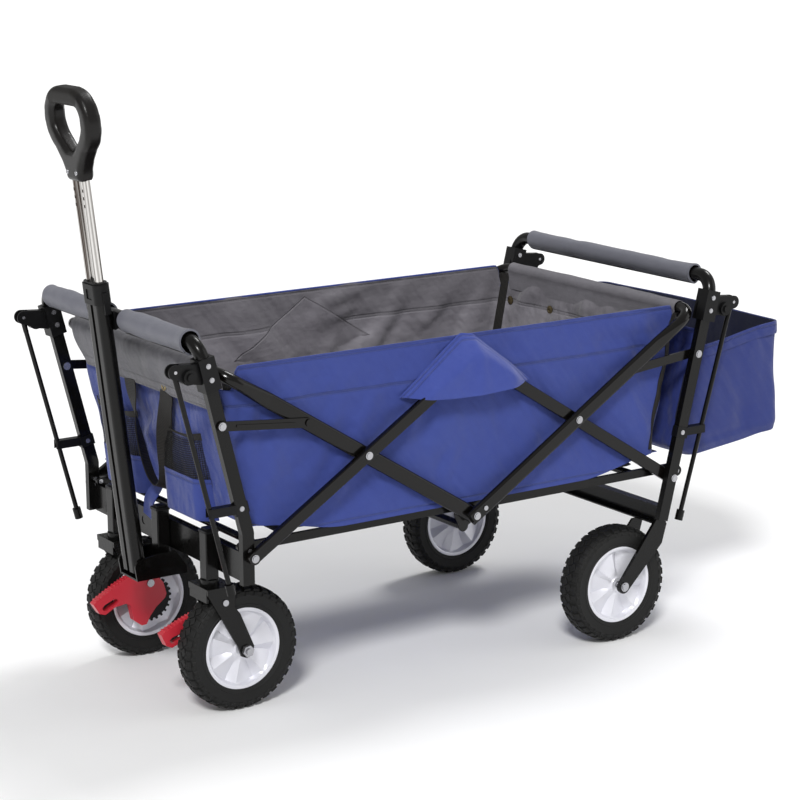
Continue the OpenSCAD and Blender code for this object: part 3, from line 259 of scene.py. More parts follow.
class Paint:
    """One procedural material while it is built."""

    def __init__(self, name: str) -> None:
        """Makes an empty material of that name.

        Args:
            name: the material's name.
        """
        self.material = bpy.data.materials.new(name)
        self.material.use_nodes = True
        self.tree = self.material.node_tree
        self.shader = self.tree.nodes["Principled BSDF"]

    def node(self, kind: str, settings: dict[str, Any] | None = None, sockets: dict | None = None) -> Any:
        """Adds a node.

        Args:
            kind: the node's type.
            settings: its own settings, and 'stops' for a colour ramp.
            sockets: values or links of its inputs, by name or number.

        Returns:
            The new node.
        """
        made = self.tree.nodes.new(kind)
        for key, setting in (settings or {}).items():
            if key == "stops":
                ramp = made.color_ramp
                for element, (place, tint) in zip(ramp.elements, setting):
                    element.position = place
                    element.color = (*tint, 1.0)
            else:
                setattr(made, key, setting)
        for key, given in (sockets or {}).items():
            self.feed(made.inputs[key], given)
        return made

    def feed(self, socket: Any, given: Any) -> None:
        """Links or sets one input socket.

        Args:
            socket: the input socket.
            given: a value, a colour, a socket or a Value.
        """
        if isinstance(given, Value):
            given = given.socket
        if isinstance(given, bpy.types.NodeSocket):
            self.tree.links.new(given, socket)
        elif isinstance(given, tuple) and len(given) == 3 and socket.type == "RGBA":
            socket.default_value = (*given, 1.0)
        else:
            socket.default_value = given

    def value(self, kind: str, settings: dict | None, sockets: dict) -> Value:
        """Adds a node and wraps its first output."""
        return Value(self, self.node(kind, settings, sockets).outputs[0])

    def place(self, stretch: tuple[float, float, float] = (1.0, 1.0, 1.0), lean: float = 0.0) -> Any:
        """Object coordinates in metres, leant about Y and stretched.

        Args:
            stretch: factor on each axis.
            lean: turn about Y, in radians.

        Returns:
            The socket of the coordinates.
        """
        point = self.node("ShaderNodeTexCoord").outputs["Object"]
        turn = (0.0, lean, 0.0)
        leant = self.node("ShaderNodeMapping", None, {"Vector": point, "Rotation": turn})
        made = self.node("ShaderNodeMapping", None, {"Vector": leant.outputs[0], "Scale": stretch})
        return made.outputs[0]

    def flat(self) -> tuple[Value, Value]:
        """Place on the cloth's flat pattern.

        Returns:
            The way along and the way down from its top edge, in metres.
        """
        pattern = self.node("ShaderNodeUVMap", {"uv_map": "flat"}).outputs[0]
        parts = self.node("ShaderNodeSeparateXYZ", None, {0: pattern})
        return Value(self, parts.outputs[0]), Value(self, parts.outputs[1])

    def noise(self, scale: float, detail: float = 3.0, at: Any = None) -> Value:
        """Noise around a half."""
        at = self.place() if at is None else at
        return self.value("ShaderNodeTexNoise", None, {"Vector": at, "Scale": scale, "Detail": detail})

    def tint(self, factor: Any, low: Any, high: Any) -> Any:
        """A colour between two."""
        made = self.node("ShaderNodeMix", {"data_type": "RGBA"}, {0: factor, 6: low, 7: high})
        return made.outputs[2]

    def relief(self, height: Value, depth: float) -> None:
        """Raises the surface by height times depth metres."""
        bump = self.node("ShaderNodeBump", None, {"Height": height, "Distance": depth})
        self.feed(self.shader.inputs["Normal"], bump.outputs[0])

    def done(self, **sockets: Any) -> bpy.types.Material:
        """Sets the shader's sockets, with spaces for underscores, and returns the material.

        Args:
            sockets: values or links by socket name.

        Returns:
            The material.
        """
        for key, given in sockets.items():
            self.feed(self.shader.inputs[key.replace("_", " ")], given)
        return self.material


# ---------------------------------------------------------------- finishes


@dataclass(frozen=True)
class Canvas:
    """Woven polyester canvas with rows of stitches at given distances below its top edge.

    Threads, stitches and grooves are in mm; each seam's groove is darkened as painted shade. Satin and pull
    say how deep the slack and the pulled creases are, and the band is a darker strip below the top edge.
    """

    name: str
    shade: str
    light: str
    seams: tuple[float, ...] = ()
    roughness: float = 0.72
    sheen: float = 0.18
    thread: float = 1.3
    stitch: float = 4.2
    stitch_half: float = 0.55
    stitch_share: float = 0.68
    groove: float = 2.6
    satin: float = 0.0
    pull: float = 2.4
    pull_lean: float = 38.0
    band: float = 0.0
    band_tone: float = 0.0

    def make(self) -> bpy.types.Material:
        """Builds the material.

        Returns:
            The material.
        """
        paint = Paint(self.name)
        along, down = paint.flat()
        turns = 2.0 * math.pi / (self.thread * MM)
        weave = (along * turns).wave() * (down * turns).wave()
        cloudy = paint.noise(5.0, 4.0) * 0.6 + paint.noise(60.0, 2.0) * 0.4
        slack = paint.noise(13.0, 3.0, paint.place((1.0, 1.0, 2.2)))
        row = None
        for seam in self.seams:
            near = (down - seam * MM).size()
            line = (near < self.stitch_half * MM) * ((along / (self.stitch * MM)).part() < self.stitch_share)
            groove = (1.0 - near / (self.groove * MM)).most(0.0)
            row = (line, groove) if row is None else (row[0] + line, row[1] + groove)
        tone = paint.tint(cloudy, colour(self.shade), colour(self.light))
        if self.band > 0.0:
            tone = paint.tint((down < self.band * MM) * self.band_tone, tone, (0.0, 0.0, 0.0))
        pulled = paint.noise(3.6, 2.0, paint.place((7.0, 7.0, 1.6), math.radians(self.pull_lean)))
        height = weave * 0.10 + slack * (3.0 + self.satin) + pulled * (self.pull + self.satin)
        if row is not None:
            # Painted shade: each seam's groove is darkened towards black where its recess lies; the stitches
            # are drawn in the light tone.
            tone = paint.tint(row[1] * 0.22, tone, (0.0, 0.0, 0.0))
            tone = paint.tint(row[0] * 0.5, tone, colour(self.light))
            height = height - row[1] * 1.2 + row[0] * 1.0
        paint.relief(height, 1.0 * MM)
        return paint.done(
            Base_Color=tone,
            Roughness=paint.noise(30.0) * 0.14 + (self.roughness - 0.07),
            Sheen_Weight=self.sheen,
            Sheen_Roughness=0.4,
            Specular_IOR_Level=0.35,
        )


@dataclass(frozen=True)
class Coat:
    """Powder coat, paint or moulded plastic: a base tone, a fine grain and rubbed patches."""

    name: str
    shade: str
    light: str
    roughness: float
    grain: float = 900.0
    depth: float = 0.05
    coat: float = 0.0
    metallic: float = 0.0
    patches: float = 7.0
    shine: float = 0.5

    def make(self) -> bpy.types.Material:
        """Builds the material.

        Returns:
            The material.
        """
        paint = Paint(self.name)
        cloudy = paint.noise(self.patches, 5.0)
        fine = paint.noise(self.grain, 2.0)
        paint.relief(fine + paint.noise(120.0, 2.0) * 0.8, self.depth * MM)
        return paint.done(
            Base_Color=paint.tint(cloudy, colour(self.shade), colour(self.light)),
            Roughness=cloudy * 0.16 + fine * 0.05 + (self.roughness - 0.1),
            Specular_IOR_Level=self.shine,
            Coat_Weight=self.coat,
            Coat_Roughness=0.12,
            Metallic=self.metallic,
        )


@dataclass(frozen=True)
class Net:
    """Open net of a pocket: round holes in a staggered grid."""

    name: str
    tone: str
    pitch: float = 7.0
    strand: float = 0.22

    def make(self) -> bpy.types.Material:
        """Builds the material.

        Returns:
            The material.
        """
        paint = Paint(self.name)
        along, down = paint.flat()
        turns = 2.0 * math.pi / (self.pitch * MM)
        holes = (along * turns).wave() * (down * turns).wave()
        strand = holes.size() < self.strand
        paint.relief(strand, 0.4 * MM)
        return paint.done(Base_Color=colour(self.tone), Roughness=0.7, Alpha=strand * 0.94 + 0.06)


@dataclass(frozen=True)
class Webbing:
    """Black webbing with a rib across it at every weft, each rib's crest lightened as a painted highlight.
    """

    name: str
    shade: str
    light: str
    pitch: float = 2.6
    thread: float = 1.1

    def make(self) -> bpy.types.Material:
        """Builds the material.

        Returns:
            The material.
        """
        paint = Paint(self.name)
        along, down = paint.flat()
        ribs = (along * (2.0 * math.pi / (self.pitch * MM))).wave() * 0.5 + 0.5
        fine = (down * (2.0 * math.pi / (self.thread * MM))).wave() * 0.5 + 0.5
        paint.relief(ribs + fine * 0.3, 0.5 * MM)
        return paint.done(
            # Painted highlight: the crest of each rib is tinted towards the light tone.
            Base_Color=paint.tint(ribs * ribs, colour(self.shade), colour(self.light)),
            Roughness=0.55,
            Specular_IOR_Level=0.35,
        )


@dataclass(frozen=True)
class Polished:
    """Polished tube with long streaks of painted reflection down it."""

    name: str
    shade: str
    light: str
    lean: float = HANDLE_LEAN

    def make(self) -> bpy.types.Material:
        """Builds the material.

        Returns:
            The material.
        """
        paint = Paint(self.name)
        # Painted reflection: stretched noise lays light and dark streaks into the base colour.
        painted_reflection_streaks = paint.noise(1.0, 2.0, paint.place((230.0, 330.0, 1.6), math.radians(self.lean)))
        sharp = (painted_reflection_streaks - 0.5) * 3.4 + 0.5
        return paint.done(
            Base_Color=paint.tint(sharp, colour(self.shade), colour(self.light)),
            Roughness=paint.noise(40.0) * 0.1 + 0.08,
            Metallic=1.0,
        )


class Finish(Enum):
    """Every finish on the wagon."""

    BLUE = Canvas("basket_canvas", "28367f", "3b4b90", seams=(6.0, 62.0, 64.5, 268.0), pull=11.0)
    BLUE_PLAIN = Canvas("plain_canvas", "28367f", "3b4b90", seams=(7.0,), pull=8.0)
    # The bag's canvas is the basket's blue canvas painted darker, as painted shade over the whole bag.
    BAG = Canvas("bag_canvas", "1f2a68", "2c3a7b", seams=(7.0,), pull=11.0)
    FLAP = Canvas("flap_canvas", "2b3a89", "3f5099", seams=(4.5, 12.5), pull=9.0)
    NAVY = Canvas("bag_lining", "0d122c", "151b3c")
    NAVY_PAD = Coat("floor_mat_cloth", "2c2c33", "38383f", 0.85, grain=700.0, depth=0.25)
    GREY = Canvas(
        "satin_lining",
        "716e75",
        "918e95",
        seams=(6.0, 62.0, 66.0),
        satin=3.0,
        roughness=0.46,
        pull=12.0,
        band=64.0,
        band_tone=0.26,
    )
    GREY_PLAIN = Canvas("grey_canvas", "5e5c62", "7c7a80", seams=(5.0, 8.0), satin=1.4, roughness=0.55)
    GREY_PATCH = Canvas(
        "lining_patch", "69666c", "87848b", seams=(3.0,), satin=3.0, roughness=0.46, pull=9.0
    )
    GREY_HEM = Canvas(
        "hemmed_grey_canvas", "58585e", "747379", seams=(3.5, 20.0), satin=1.8, roughness=0.52, pull=6.0
    )
    SLEEVE = Canvas("grip_cloth", "5b5c66", "74757e", seams=(9.0,), roughness=0.66, pull=1.2)
    WEBBING = Webbing("ribbed_webbing", "0a0a0b", "2b2723")
    NET = Net("pocket_net", "0c0c0e")
    STEEL = Coat("powder_coat_black", "050505", "0c0b0a", 0.26, coat=0.22, shine=0.14)
    BAR = Coat("bar_enamel_black", "040303", "0d0b09", 0.2, coat=0.36, shine=0.12)
    PLASTIC = Coat("moulded_black", "070708", "0e0e0f", 0.42, depth=0.08, shine=0.22)
    GRIP = Coat("grip_shell", "080707", "120f0d", 0.36, depth=0.06, coat=0.1, shine=0.25)
    SOFT_GRIP = Coat("grip_soft_bar", "0f0d0b", "191613", 0.55, grain=500.0, depth=0.12, shine=0.25)
    CHROME = Coat("bright_zinc", "8f8f93", "c6c6ca", 0.2, depth=0.02, metallic=0.85)
    ROD = Polished("polished_rod", "4a413b", "e8e6e3")
    RIM = Coat("silver_rim", "d2d2da", "ececf2", 0.38, coat=0.3, depth=0.05, metallic=0.35)
    RUBBER = Coat("tyre_rubber", "0e0e0e", "191918", 0.62, depth=0.2, grain=600.0, shine=0.3)
    RING = Coat("brake_ring_black", "09090a", "121213", 0.45, depth=0.1, shine=0.3)
    RED = Coat("pedal_red_plastic", "b3202f", "cf3341", 0.4, coat=0.25, depth=0.08)
    BRASS = Coat("brass_eyelet", "8a7a55", "b5a67c", 0.3, metallic=1.0, depth=0.03)
    FLOOR = Coat("pale_floor", "f4f4f4", "f8f8f8", 0.9, depth=0.01, shine=0.1)


PAINTED: dict[Finish, bpy.types.Material] = {}


def painted(finish: Finish) -> bpy.types.Material:
    """The finish's material, made on first use.

    Args:
        finish: which finish.

    Returns:
        Its material.
    """
    if finish not in PAINTED:
        PAINTED[finish] = finish.value.make()
    return PAINTED[finish]


def dress(obj: bpy.types.Object, *finishes: Finish) -> None:
    """Gives a piece its material slots in order.

    Args:
        obj: the piece.
        finishes: its finishes, slot by slot.
    """
    obj.data.materials.clear()
    for finish in finishes:
        obj.data.materials.append(painted(finish))


# ---------------------------------------------------------------- modelling


def pick_only(*objs: bpy.types.Object) -> None:
    """Selects these objects alone, the first one active.

    Args:
        objs: what is selected.
    """
    if bpy.context.object and bpy.context.object.mode != "OBJECT":
        bpy.ops.object.mode_set(mode="OBJECT")
    bpy.ops.object.select_all(action="DESELECT")
    for obj in objs:
        obj.select_set(True)
    if objs:
        bpy.context.view_layer.objects.active = objs[0]


@contextmanager
def editing(obj: bpy.types.Object, mode: str = "FACE") -> Iterator[bpy.types.Object]:
    """Edit mode on one object, with nothing selected at its start.

    Args:
        obj: the piece.
        mode: VERT, EDGE or FACE.

    Returns:
        The piece, while it is edited.
    """
    pick_only(obj)
    bpy.ops.object.mode_set(mode="EDIT")
    bpy.ops.mesh.select_mode(type=mode)
    bpy.ops.mesh.select_all(action="DESELECT")
    yield obj
    bpy.ops.object.mode_set(mode="OBJECT")


def mark_faces(obj: bpy.types.Object, test: Callable[[Vector, Vector], bool]) -> None:
    """Selects the faces whose centre and normal pass a test, from within edit mode.

    Args:
        obj: the piece.
        test: says of a centre and a normal whether the face is selected.
    """
    bpy.ops.object.mode_set(mode="OBJECT")
    for face in obj.data.polygons:
        face.select = test(face.center, face.normal)
    bpy.ops.object.mode_set(mode="EDIT")


def named(name: str) -> bpy.types.Object:
    """The active object under a new name.

    Args:
        name: the new name.

    Returns:
        The object.
    """
    obj = bpy.context.object
    obj.name = name
    obj.data.name = name
    return obj


def settle(obj: bpy.types.Object) -> bpy.types.Object:
    """Moves an object's place, turn and scale into its mesh.

    Args:
        obj: the piece.

    Returns:
        The same piece.
    """
    bpy.context.view_layer.update()
    obj.data.transform(obj.matrix_world)
    obj.matrix_world = Matrix.Identity(4)
    return obj


def apply_modifier(obj: bpy.types.Object, kind: str, **settings: Any) -> None:
    """Adds one modifier, sets it and applies it.

    Args:
        obj: the piece.
        kind: the modifier's type.
        settings: its settings.
    """
    pick_only(obj)
    made = obj.modifiers.new(kind.lower(), kind)
    for key, given in settings.items():
        setattr(made, key, given)
    bpy.ops.object.modifier_apply(modifier=made.name)


def smooth(obj: bpy.types.Object, degrees: float = 35.0) -> None:
    """Shades smooth, with edges sharper than the angle kept hard."""
    pick_only(obj)
    bpy.ops.object.shade_smooth_by_angle(angle=math.radians(degrees))


def twin(obj: bpy.types.Object, name: str, move: Matrix) -> bpy.types.Object:
    """A copy of a piece with its own mesh, moved inside that mesh.

    Args:
        obj: the piece.
        name: the copy's name.
        move: where it goes, in metres.

    Returns:
        The copy.
    """
    copy = obj.copy()
    copy.data = obj.data.copy()
    copy.name = name
    copy.data.name = name
    copy.data.transform(move)
    if move.determinant() < 0:
        copy.data.flip_normals()
    bpy.context.collection.objects.link(copy)
    return copy


def join(name: str, pieces: Sequence[bpy.types.Object]) -> bpy.types.Object:
    """Joins pieces into the first one.

    Args:
        name: name of the result.
        pieces: what is joined.

    Returns:
        The joined piece.
    """
    pick_only(*pieces)
    if len(pieces) > 1:
        bpy.ops.object.join()
    return named(name)


def tidy_normals(obj: bpy.types.Object, gap: float = 0.02 * MM) -> None:
    """Merges doubles and points all faces outwards.

    Args:
        obj: the piece.
        gap: how near doubles lie, in metres.
    """
    with editing(obj):
        bpy.ops.mesh.select_all(action="SELECT")
        bpy.ops.mesh.remove_doubles(threshold=gap)
        bpy.ops.mesh.normals_make_consistent(inside=False)


def woven(
    name: str, rows: Rows, centre: Vector, loop: bool = False, level: float | None = None
) -> bpy.types.Object:
    """A cloth from rows of points, top row first, with its flat pattern as a UV map in metres.

    Args:
        name: the piece's name.
        rows: equal rows of points, mm.
        centre: a point on the cloth's inner side, mm.
        loop: whether each row closes on itself.
        level: height that the flat pattern's rows are measured from, where they are level.

    Returns:
        The cloth, facing away from the centre.
    """
    high, wide = len(rows), len(rows[0])
    along, down = [0.0], [[0.0] * wide]
    middle = rows[high // 2]
    for i in range(1, wide + (1 if loop else 0)):
        along.append(along[-1] + (middle[i % wide] - middle[i - 1]).length)
    for r in range(1, high):
        down.append([down[-1][i] + (rows[r][i] - rows[r - 1][i]).length for i in range(wide)])
    if level is not None:
        down = [[level - p.z for p in row] for row in rows]
    faces, places = [], []
    for r in range(high - 1):
        for i in range(wide if loop else wide - 1):
            j = (i + 1) % wide
            faces.append((r * wide + i, r * wide + j, (r + 1) * wide + j, (r + 1) * wide + i))
            places += [(along[i], down[r][i]), (along[i + 1], down[r][j])]
            places += [(along[i + 1], down[r + 1][j]), (along[i], down[r + 1][i])]
    mesh = bpy.data.meshes.new(name)
    mesh.from_pydata([p * MM for row in rows for p in row], [], faces)
    layer = mesh.uv_layers.new(name="flat")
    for corner, (u, v) in zip(layer.data, places):
        corner.uv = (u * MM, v * MM)
    obj = bpy.data.objects.new(name, mesh)
    bpy.context.collection.objects.link(obj)
    outward = sum((f.normal.dot(f.center - centre * MM) * f.area for f in mesh.polygons), 0.0)
    if outward < 0.0:
        mesh.flip_normals()
    return obj


def cloth_area(rows: Rows, loop: bool = False) -> tuple[float, float, float]:
    """Flat width, length and area of a cloth in metres.

    Args:
        rows: its rows of points, mm.
        loop: whether each row closes on itself.

    Returns:
        The width, length and area.
    """
    area, wide = 0.0, len(rows[0])
    for r in range(len(rows) - 1):
        for i in range(wide if loop else wide - 1):
            a, b = rows[r][i], rows[r][(i + 1) % wide]
            c, d = rows[r + 1][(i + 1) % wide], rows[r + 1][i]
            area += 0.5 * (c - a).cross(d - b).length
    width = max(sum((row[i] - row[i - 1]).length for i in range(0 if loop else 1, wide)) for row in rows)
    length = max(
        sum((rows[r][i] - rows[r - 1][i]).length for r in range(1, len(rows))) for i in range(wide)
    )
    return width * MM, length * MM, area * MM * MM


def back_with(
    obj: bpy.types.Object, thickness: float, outer: Finish, inner: Finish, levels: int = 1
) -> None:
    """Gives a cloth its thickness inwards, a lining on its inner side, and a smooth surface.

    Args:
        obj: the cloth.
        thickness: from its outer side to its inner one, mm.
        outer: finish of the outer side and the rims.
        inner: finish of the inner side.
        levels: how often the cloth is subdivided first.
    """
    dress(obj, outer, inner)
    if levels:
        apply_modifier(
            obj, "SUBSURF", levels=levels, render_levels=levels, boundary_smooth="PRESERVE_CORNERS"
        )
    apply_modifier(
        obj, "SOLIDIFY", thickness=thickness * MM, offset=-1.0, material_offset=1, material_offset_rim=0
    )
    smooth(obj, 60.0)


def hang(rows: Rows, loop: bool = False) -> None:
    """Works out a cloth's flat width, length and area, which are not kept.

    Args:
        rows: the rows that it was woven from, mm.
        loop: whether each row closes on itself.
    """
    width, length, area = cloth_area(rows, loop)


def hang_pair(
    name: str, cloths: Sequence[Rows], centres: Sequence[Vector]
) -> bpy.types.Object:
    """Weaves two alike cloths into one piece and works out the first one's flat size, which is not kept.

    Args:
        name: the piece's name.
        cloths: the rows of each cloth, mm.
        centres: a point on the inner side of each, mm.

    Returns:
        The piece.
    """
    halves = [woven(f"{name}_{k}", rows, centres[k]) for k, rows in enumerate(cloths)]
    pair = join(name, halves)
    width, length, area = cloth_area(cloths[0])
    return pair


# ---------------------------------------------------------------- the basket


class End(Enum):
    """The two ends of the wagon: the direction of X, the hoop's body and the basket's node."""

    FRONT = (-1.0, "front_hoop", "basket_front", "hoop_front")
    REAR = (1.0, "rear_hoop", "basket_rear", "hoop_rear")

    def __init__(self, side: float, body: str, cloth: str, hoop: str) -> None:
        """Names what belongs to this end.

        Args:
            side: direction along X.
            body: the hoop's body.
            cloth: the basket half's node.
            hoop: the hoop's node.
        """
        self.side = side
        self.body = body
        self.cloth = cloth
        self.hoop = hoop

    @property
    def word(self) -> str:
        """The end's name for its pieces."""
        return self.name.lower()

    def pick(self, front: Any, rear: Any) -> Any:
        """The front's value or the rear's, whichever this end is."""
        return front if self is End.FRONT else rear


@dataclass
class Basket:
    """Half of the fabric basket, from the middle of the wagon to one end.

    The bottom lies low to rise_from and reaches end_low at the end panel, which leans by its slope.
    Creases stand between deepest and highest off the wall's smooth form. The hoop's arms run from
    their pivot to arm_reach and arm_top; pivot_z, arm_reach and arm_top are not used.
    """

    end: End
    top: float = 570.0
    corner_top: float = 537.0
    low: float = 293.8
    end_low: float = 318.0
    rise_from: float = 235.0
    rise_over: float = 160.0
    half_width: float = 248.3
    panel_top_x: float = 450.0
    slope: float = 0.2
    corner_r: float = 24.0
    thickness: float = 2.4
    step: float = 7.5
    tube_r: float = 10.0
    near_creases: float = 1.9
    far_creases: float = 2.6
    deepest: float = -8.0
    highest: float = 2.6
    snap_z: float = 507.0
    pivot_z: float = 277.0
    arm_reach: float = 451.0
    arm_top: float = 562.0

    def __post_init__(self) -> None:
        """Reads the hoop's tube from the frame and lays out the wall's creases."""
        low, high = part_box(self.end.hoop)
        reach = max(-low[0], high[0]) / MM - self.tube_r
        self.tube = Vector((self.end.side * reach, 0.0, high[2] / MM - self.tube_r))
        self.sleeve_half = (high[1] - low[1]) / MM / 2.0 - 45.0
        self.length = 2.0 * self.panel_x(430.0) + 2.0 * self.half_width
        pattern = (self.length, self.top - self.low)
        self.folds = Creases(self.end.pick(11, 23), 84, pattern, 3.6, 52.0)
        self.broad = Creases(self.end.pick(5, 8), 22, pattern, 4.0, 24.0)

    @property
    def core(self) -> Vector:
        """A point amid this half of the basket."""
        return Vector((self.end.side * 200.0, 0.0, 420.0))

    def panel_x(self, z: float) -> float:
        """Distance of the end panel from the middle at a height."""
        return self.panel_top_x - (self.top - 2.0 - z) * self.slope

    def girth(self, z: float) -> float:
        """Length round this half's wall at a height."""
        return 2.0 * (self.panel_x(z) + self.half_width) - self.corner_r * (4.0 - math.pi)

    def floor_z(self, x: float, low: float, high: float) -> float:
        """Height of the bottom at a distance from the middle, between its low and its raised end."""
        return mix(low, high, ease((x - self.rise_from) / self.rise_over))

    def outline(self, t: float, z: float) -> tuple[Vector, Vector]:
        """A point of the basket's wall at a height.

        Args:
            t: 0 at the middle of the near side, 1 at the middle of the far side.
            z: height, mm.

        Returns:
            The point and the direction out of the basket.
        """
        reach = self.panel_x(z)
        straight, across = reach - self.corner_r, self.half_width - self.corner_r
        arc = math.pi / 2.0 * self.corner_r
        run = (t if t <= 0.5 else 1.0 - t) * self.girth(z)
        if run < straight:
            x, y, turn = run, self.half_width, 0.0
        elif run < straight + arc:
            turn = (run - straight) / self.corner_r
            x, y = straight + self.corner_r * math.sin(turn), across + self.corner_r * math.cos(turn)
        else:
            x, y, turn = reach, across - (run - straight - arc), math.pi / 2.0
        sign = -1.0 if t <= 0.5 else 1.0
        out = Vector((self.end.side * math.sin(turn), sign * math.cos(turn), 0.0))
        return Vector((self.end.side * x, sign * y, z)), out

    def top_at(self, t: float) -> float:
        """Height of the wall's top edge.

        Args:
            t: place round the wall, 0 to 1.

        Returns:
            The height, mm.
        """
        point, _ = self.outline(t, self.corner_top)
        x, y = abs(point.x), abs(point.y)
        corner = self.corner_top - 4.0
        if y > self.half_width - 1.0:
            fall = ease((x - self.panel_x(self.corner_top) + 30.0) / 26.0)
            return mix(self.top, corner, fall)
        rise = ease((self.sleeve_half + 6.0 - y) / 18.0)
        return mix(corner, self.tube.z - self.tube_r - 3.0, rise)

    def low_at(self, t: float) -> float:
        """Height of the wall's bottom edge."""
        point, _ = self.outline(t, self.end_low)
        return self.floor_z(abs(point.x), self.low, self.end_low)

    def relief_at(self, t: float, z: float) -> float:
        """Height of the creased wall over its smooth form, mm.

        Args:
            t: place round the wall, 0 to 1.
            z: height, mm.

        Returns:
            The height of the creases there.
        """
        top, low = self.top_at(t), self.low_at(t)
        v = min(1.0, max(0.0, (top - z) / (top - low)))
        point, _ = self.outline(t, z)
        u, w = t * self.length, self.top - z
        calm = ease(v / 0.12) * ease((1.0 - v) / 0.1) * 0.85 + 0.15
        calm *= ease(min(t, 1.0 - t) * self.length / 40.0)
        calm *= self.near_creases if t < 0.5 else self.far_creases
        height = (self.folds.at(u, w) + self.broad.at(u, w)) * calm
        height -= 2.2 * math.sin(math.pi * v) * math.sin(math.pi * min(1.0, abs(point.x) / 400.0))
        edge = 1.2 * (1.0 - ease((z - low) / 9.0))
        return held_between(height, self.deepest, self.highest) + edge

    def wall_rows(self) -> Rows:
        """Rows of the wall from its top edge down.

        Returns:
            The rows.
        """
        wide = int(self.length / self.step)
        high = int((self.top - self.low) / self.step)
        rows = []
        for v in spread(0.0, 1.0, high):
            row = []
            for i in range(wide + 1):
                t = i / wide
                z = mix(self.top_at(t), self.low_at(t), v)
                point, out = self.outline(t, z)
                row.append(point + out * self.relief_at(t, z))
            rows.append(row)
        return rows

    def make_wall(self) -> bpy.types.Object:
        """The lined wall, blue outside and grey inside.

        Returns:
            The wall.
        """
        rows = self.wall_rows()
        wall = woven(f"basket_wall_{self.end.word}", rows, self.core, level=self.top)
        hang(rows)
        back_with(wall, self.thickness, Finish.BLUE, Finish.GREY)
        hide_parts(self.end.cloth)
        return wall

    def make_floor(self) -> bpy.types.Object:
        """The sewn bottom under the mats, drawn up to the end panel.

        Returns:
            The bottom.
        """
        rows = []
        for y in spread(-self.half_width + 1.5, self.half_width - 1.5, 60):
            row = []
            for k in spread(0.0, 1.0, 50):
                x = mix(0.4, self.panel_x(self.end_low) - 2.0, k)
                z = self.floor_z(x, self.low + 0.4, self.end_low + 1.0)
                row.append(Vector((self.end.side * x, y, z)))
            rows.append(row)
        floor = woven(f"basket_bottom_{self.end.word}", rows, self.core)
        hang(rows)
        back_with(floor, 1.6, Finish.BLUE_PLAIN, Finish.NAVY, levels=0)
        return floor

    def make_edging(self) -> bpy.types.Object:
        """The narrow binding along the wall's top edge.

        Returns:
            The binding.
        """
        radius = 1.9
        rows: Rows = [[] for _ in range(8)]
        count = int(self.length / 6.0)
        for i in range(count + 1):
            t = i / count
            z = self.top_at(t)
            point, out = self.outline(t, z)
            for k, row in enumerate(rows):
                angle = mix(-0.62, 0.62, k / 7.0) * math.pi
                across = -self.thickness / 2.0 + radius * math.sin(angle)
                row.append(point + out * across + UP * (radius * math.cos(angle) - 1.0))
        edging = woven(f"basket_binding_{self.end.word}", rows, self.core - UP * 120.0)
        back_with(edging, 0.7, Finish.BLUE_PLAIN, Finish.GREY_PLAIN, levels=0)
        return edging

    def sleeve_path(self) -> list[Vector]:
        """The sleeve's section: up the panel, round the tube and down the lining.

        Returns:
            Points about 5 mm apart.
        """
        s = self.end.side
        radius = self.tube_r + 2.4
        foot = self.corner_top - 8.0
        path = [Vector((s * (self.panel_x(foot) + 0.6), 0.0, foot))]
        for angle in spread(-20.0, 205.0, 26):
            a = math.radians(angle)
            path.append(self.tube + Vector((s * radius * math.cos(a), 0.0, radius * math.sin(a))))
        path.append(Vector((s * (self.panel_x(foot) - self.thickness - 0.8), 0.0, foot - 2.0)))
        fine: list[Vector] = []
        for a, b in zip(path, path[1:]):
            pieces = max(1, int((b - a).length / 5.0))
            fine += [a.lerp(b, k / pieces) for k in range(pieces)]
        return [*fine, path[-1]]

    def make_sleeve(self) -> bpy.types.Object:
        """The channel of cloth round the hoop's cross tube.

        Returns:
            The sleeve.
        """
        path = self.sleeve_path()
        folds = Creases(self.end.pick(31, 37), 26, (2.0 * self.sleeve_half, 90.0), 1.3, 70.0)
        rows = []
        for k, point in enumerate(path):
            away = (point - self.tube).normalized()
            calm = math.sin(math.pi * k / (len(path) - 1))
            row = []
            for y in spread(-self.sleeve_half, self.sleeve_half, 76):
                lift = max(-0.6, folds.at(y + self.sleeve_half, k * 4.0)) * calm
                row.append(point + Vector((0.0, y, 0.0)) + away * lift)
            rows.append(row)
        sleeve = woven(f"hoop_sleeve_{self.end.word}", rows, self.tube)
        hang(rows)
        back_with(sleeve, 1.0, Finish.GREY_PLAIN, Finish.GREY_PLAIN, levels=0)
        return sleeve

    def inside(self, t: float, z: float, off: float) -> Vector:
        """A point off the creased lining, towards the basket's middle."""
        point, out = self.outline(t, z)
        return point + out * (self.relief_at(t, z) - self.thickness - off)

    def on_lining(self, x: float, far: bool, z: float, off: float) -> Vector:
        """A point off the creased lining of a side wall.

        Args:
            x: distance from the wagon's middle, mm.
            far: whether it is on the far side.
            z: height, mm.
            off: distance off the lining, mm.

        Returns:
            The point.
        """
        t = x / self.girth(z)
        return self.inside(1.0 - t if far else t, z, off)

    def inner_flap_rows(self, far: bool) -> Rows:
        """Rows of the doubled lining below the top joint, half of a triangle.

        Args:
            far: whether it is on the far side.

        Returns:
            Rows from its upper edge down, whose lower half is sewn into the lining.
        """
        foot_x, foot_z = self.end.pick((144.0, 458.0), (134.0, 474.0))
        rows = []
        for v in spread(0.0, 1.0, 16):
            off = 1.6 - 1.9 * ease((v - 0.5) / 0.5)
            row = []
            for u in spread(0.0, 1.0, 18):
                top = mix(558.0, foot_z, u)
                low = min(foot_z - 60.0 * (1.0 - u), top - 0.8)
                row.append(self.on_lining(foot_x * u, far, mix(top, low, v), off))
            rows.append(row)
        return rows

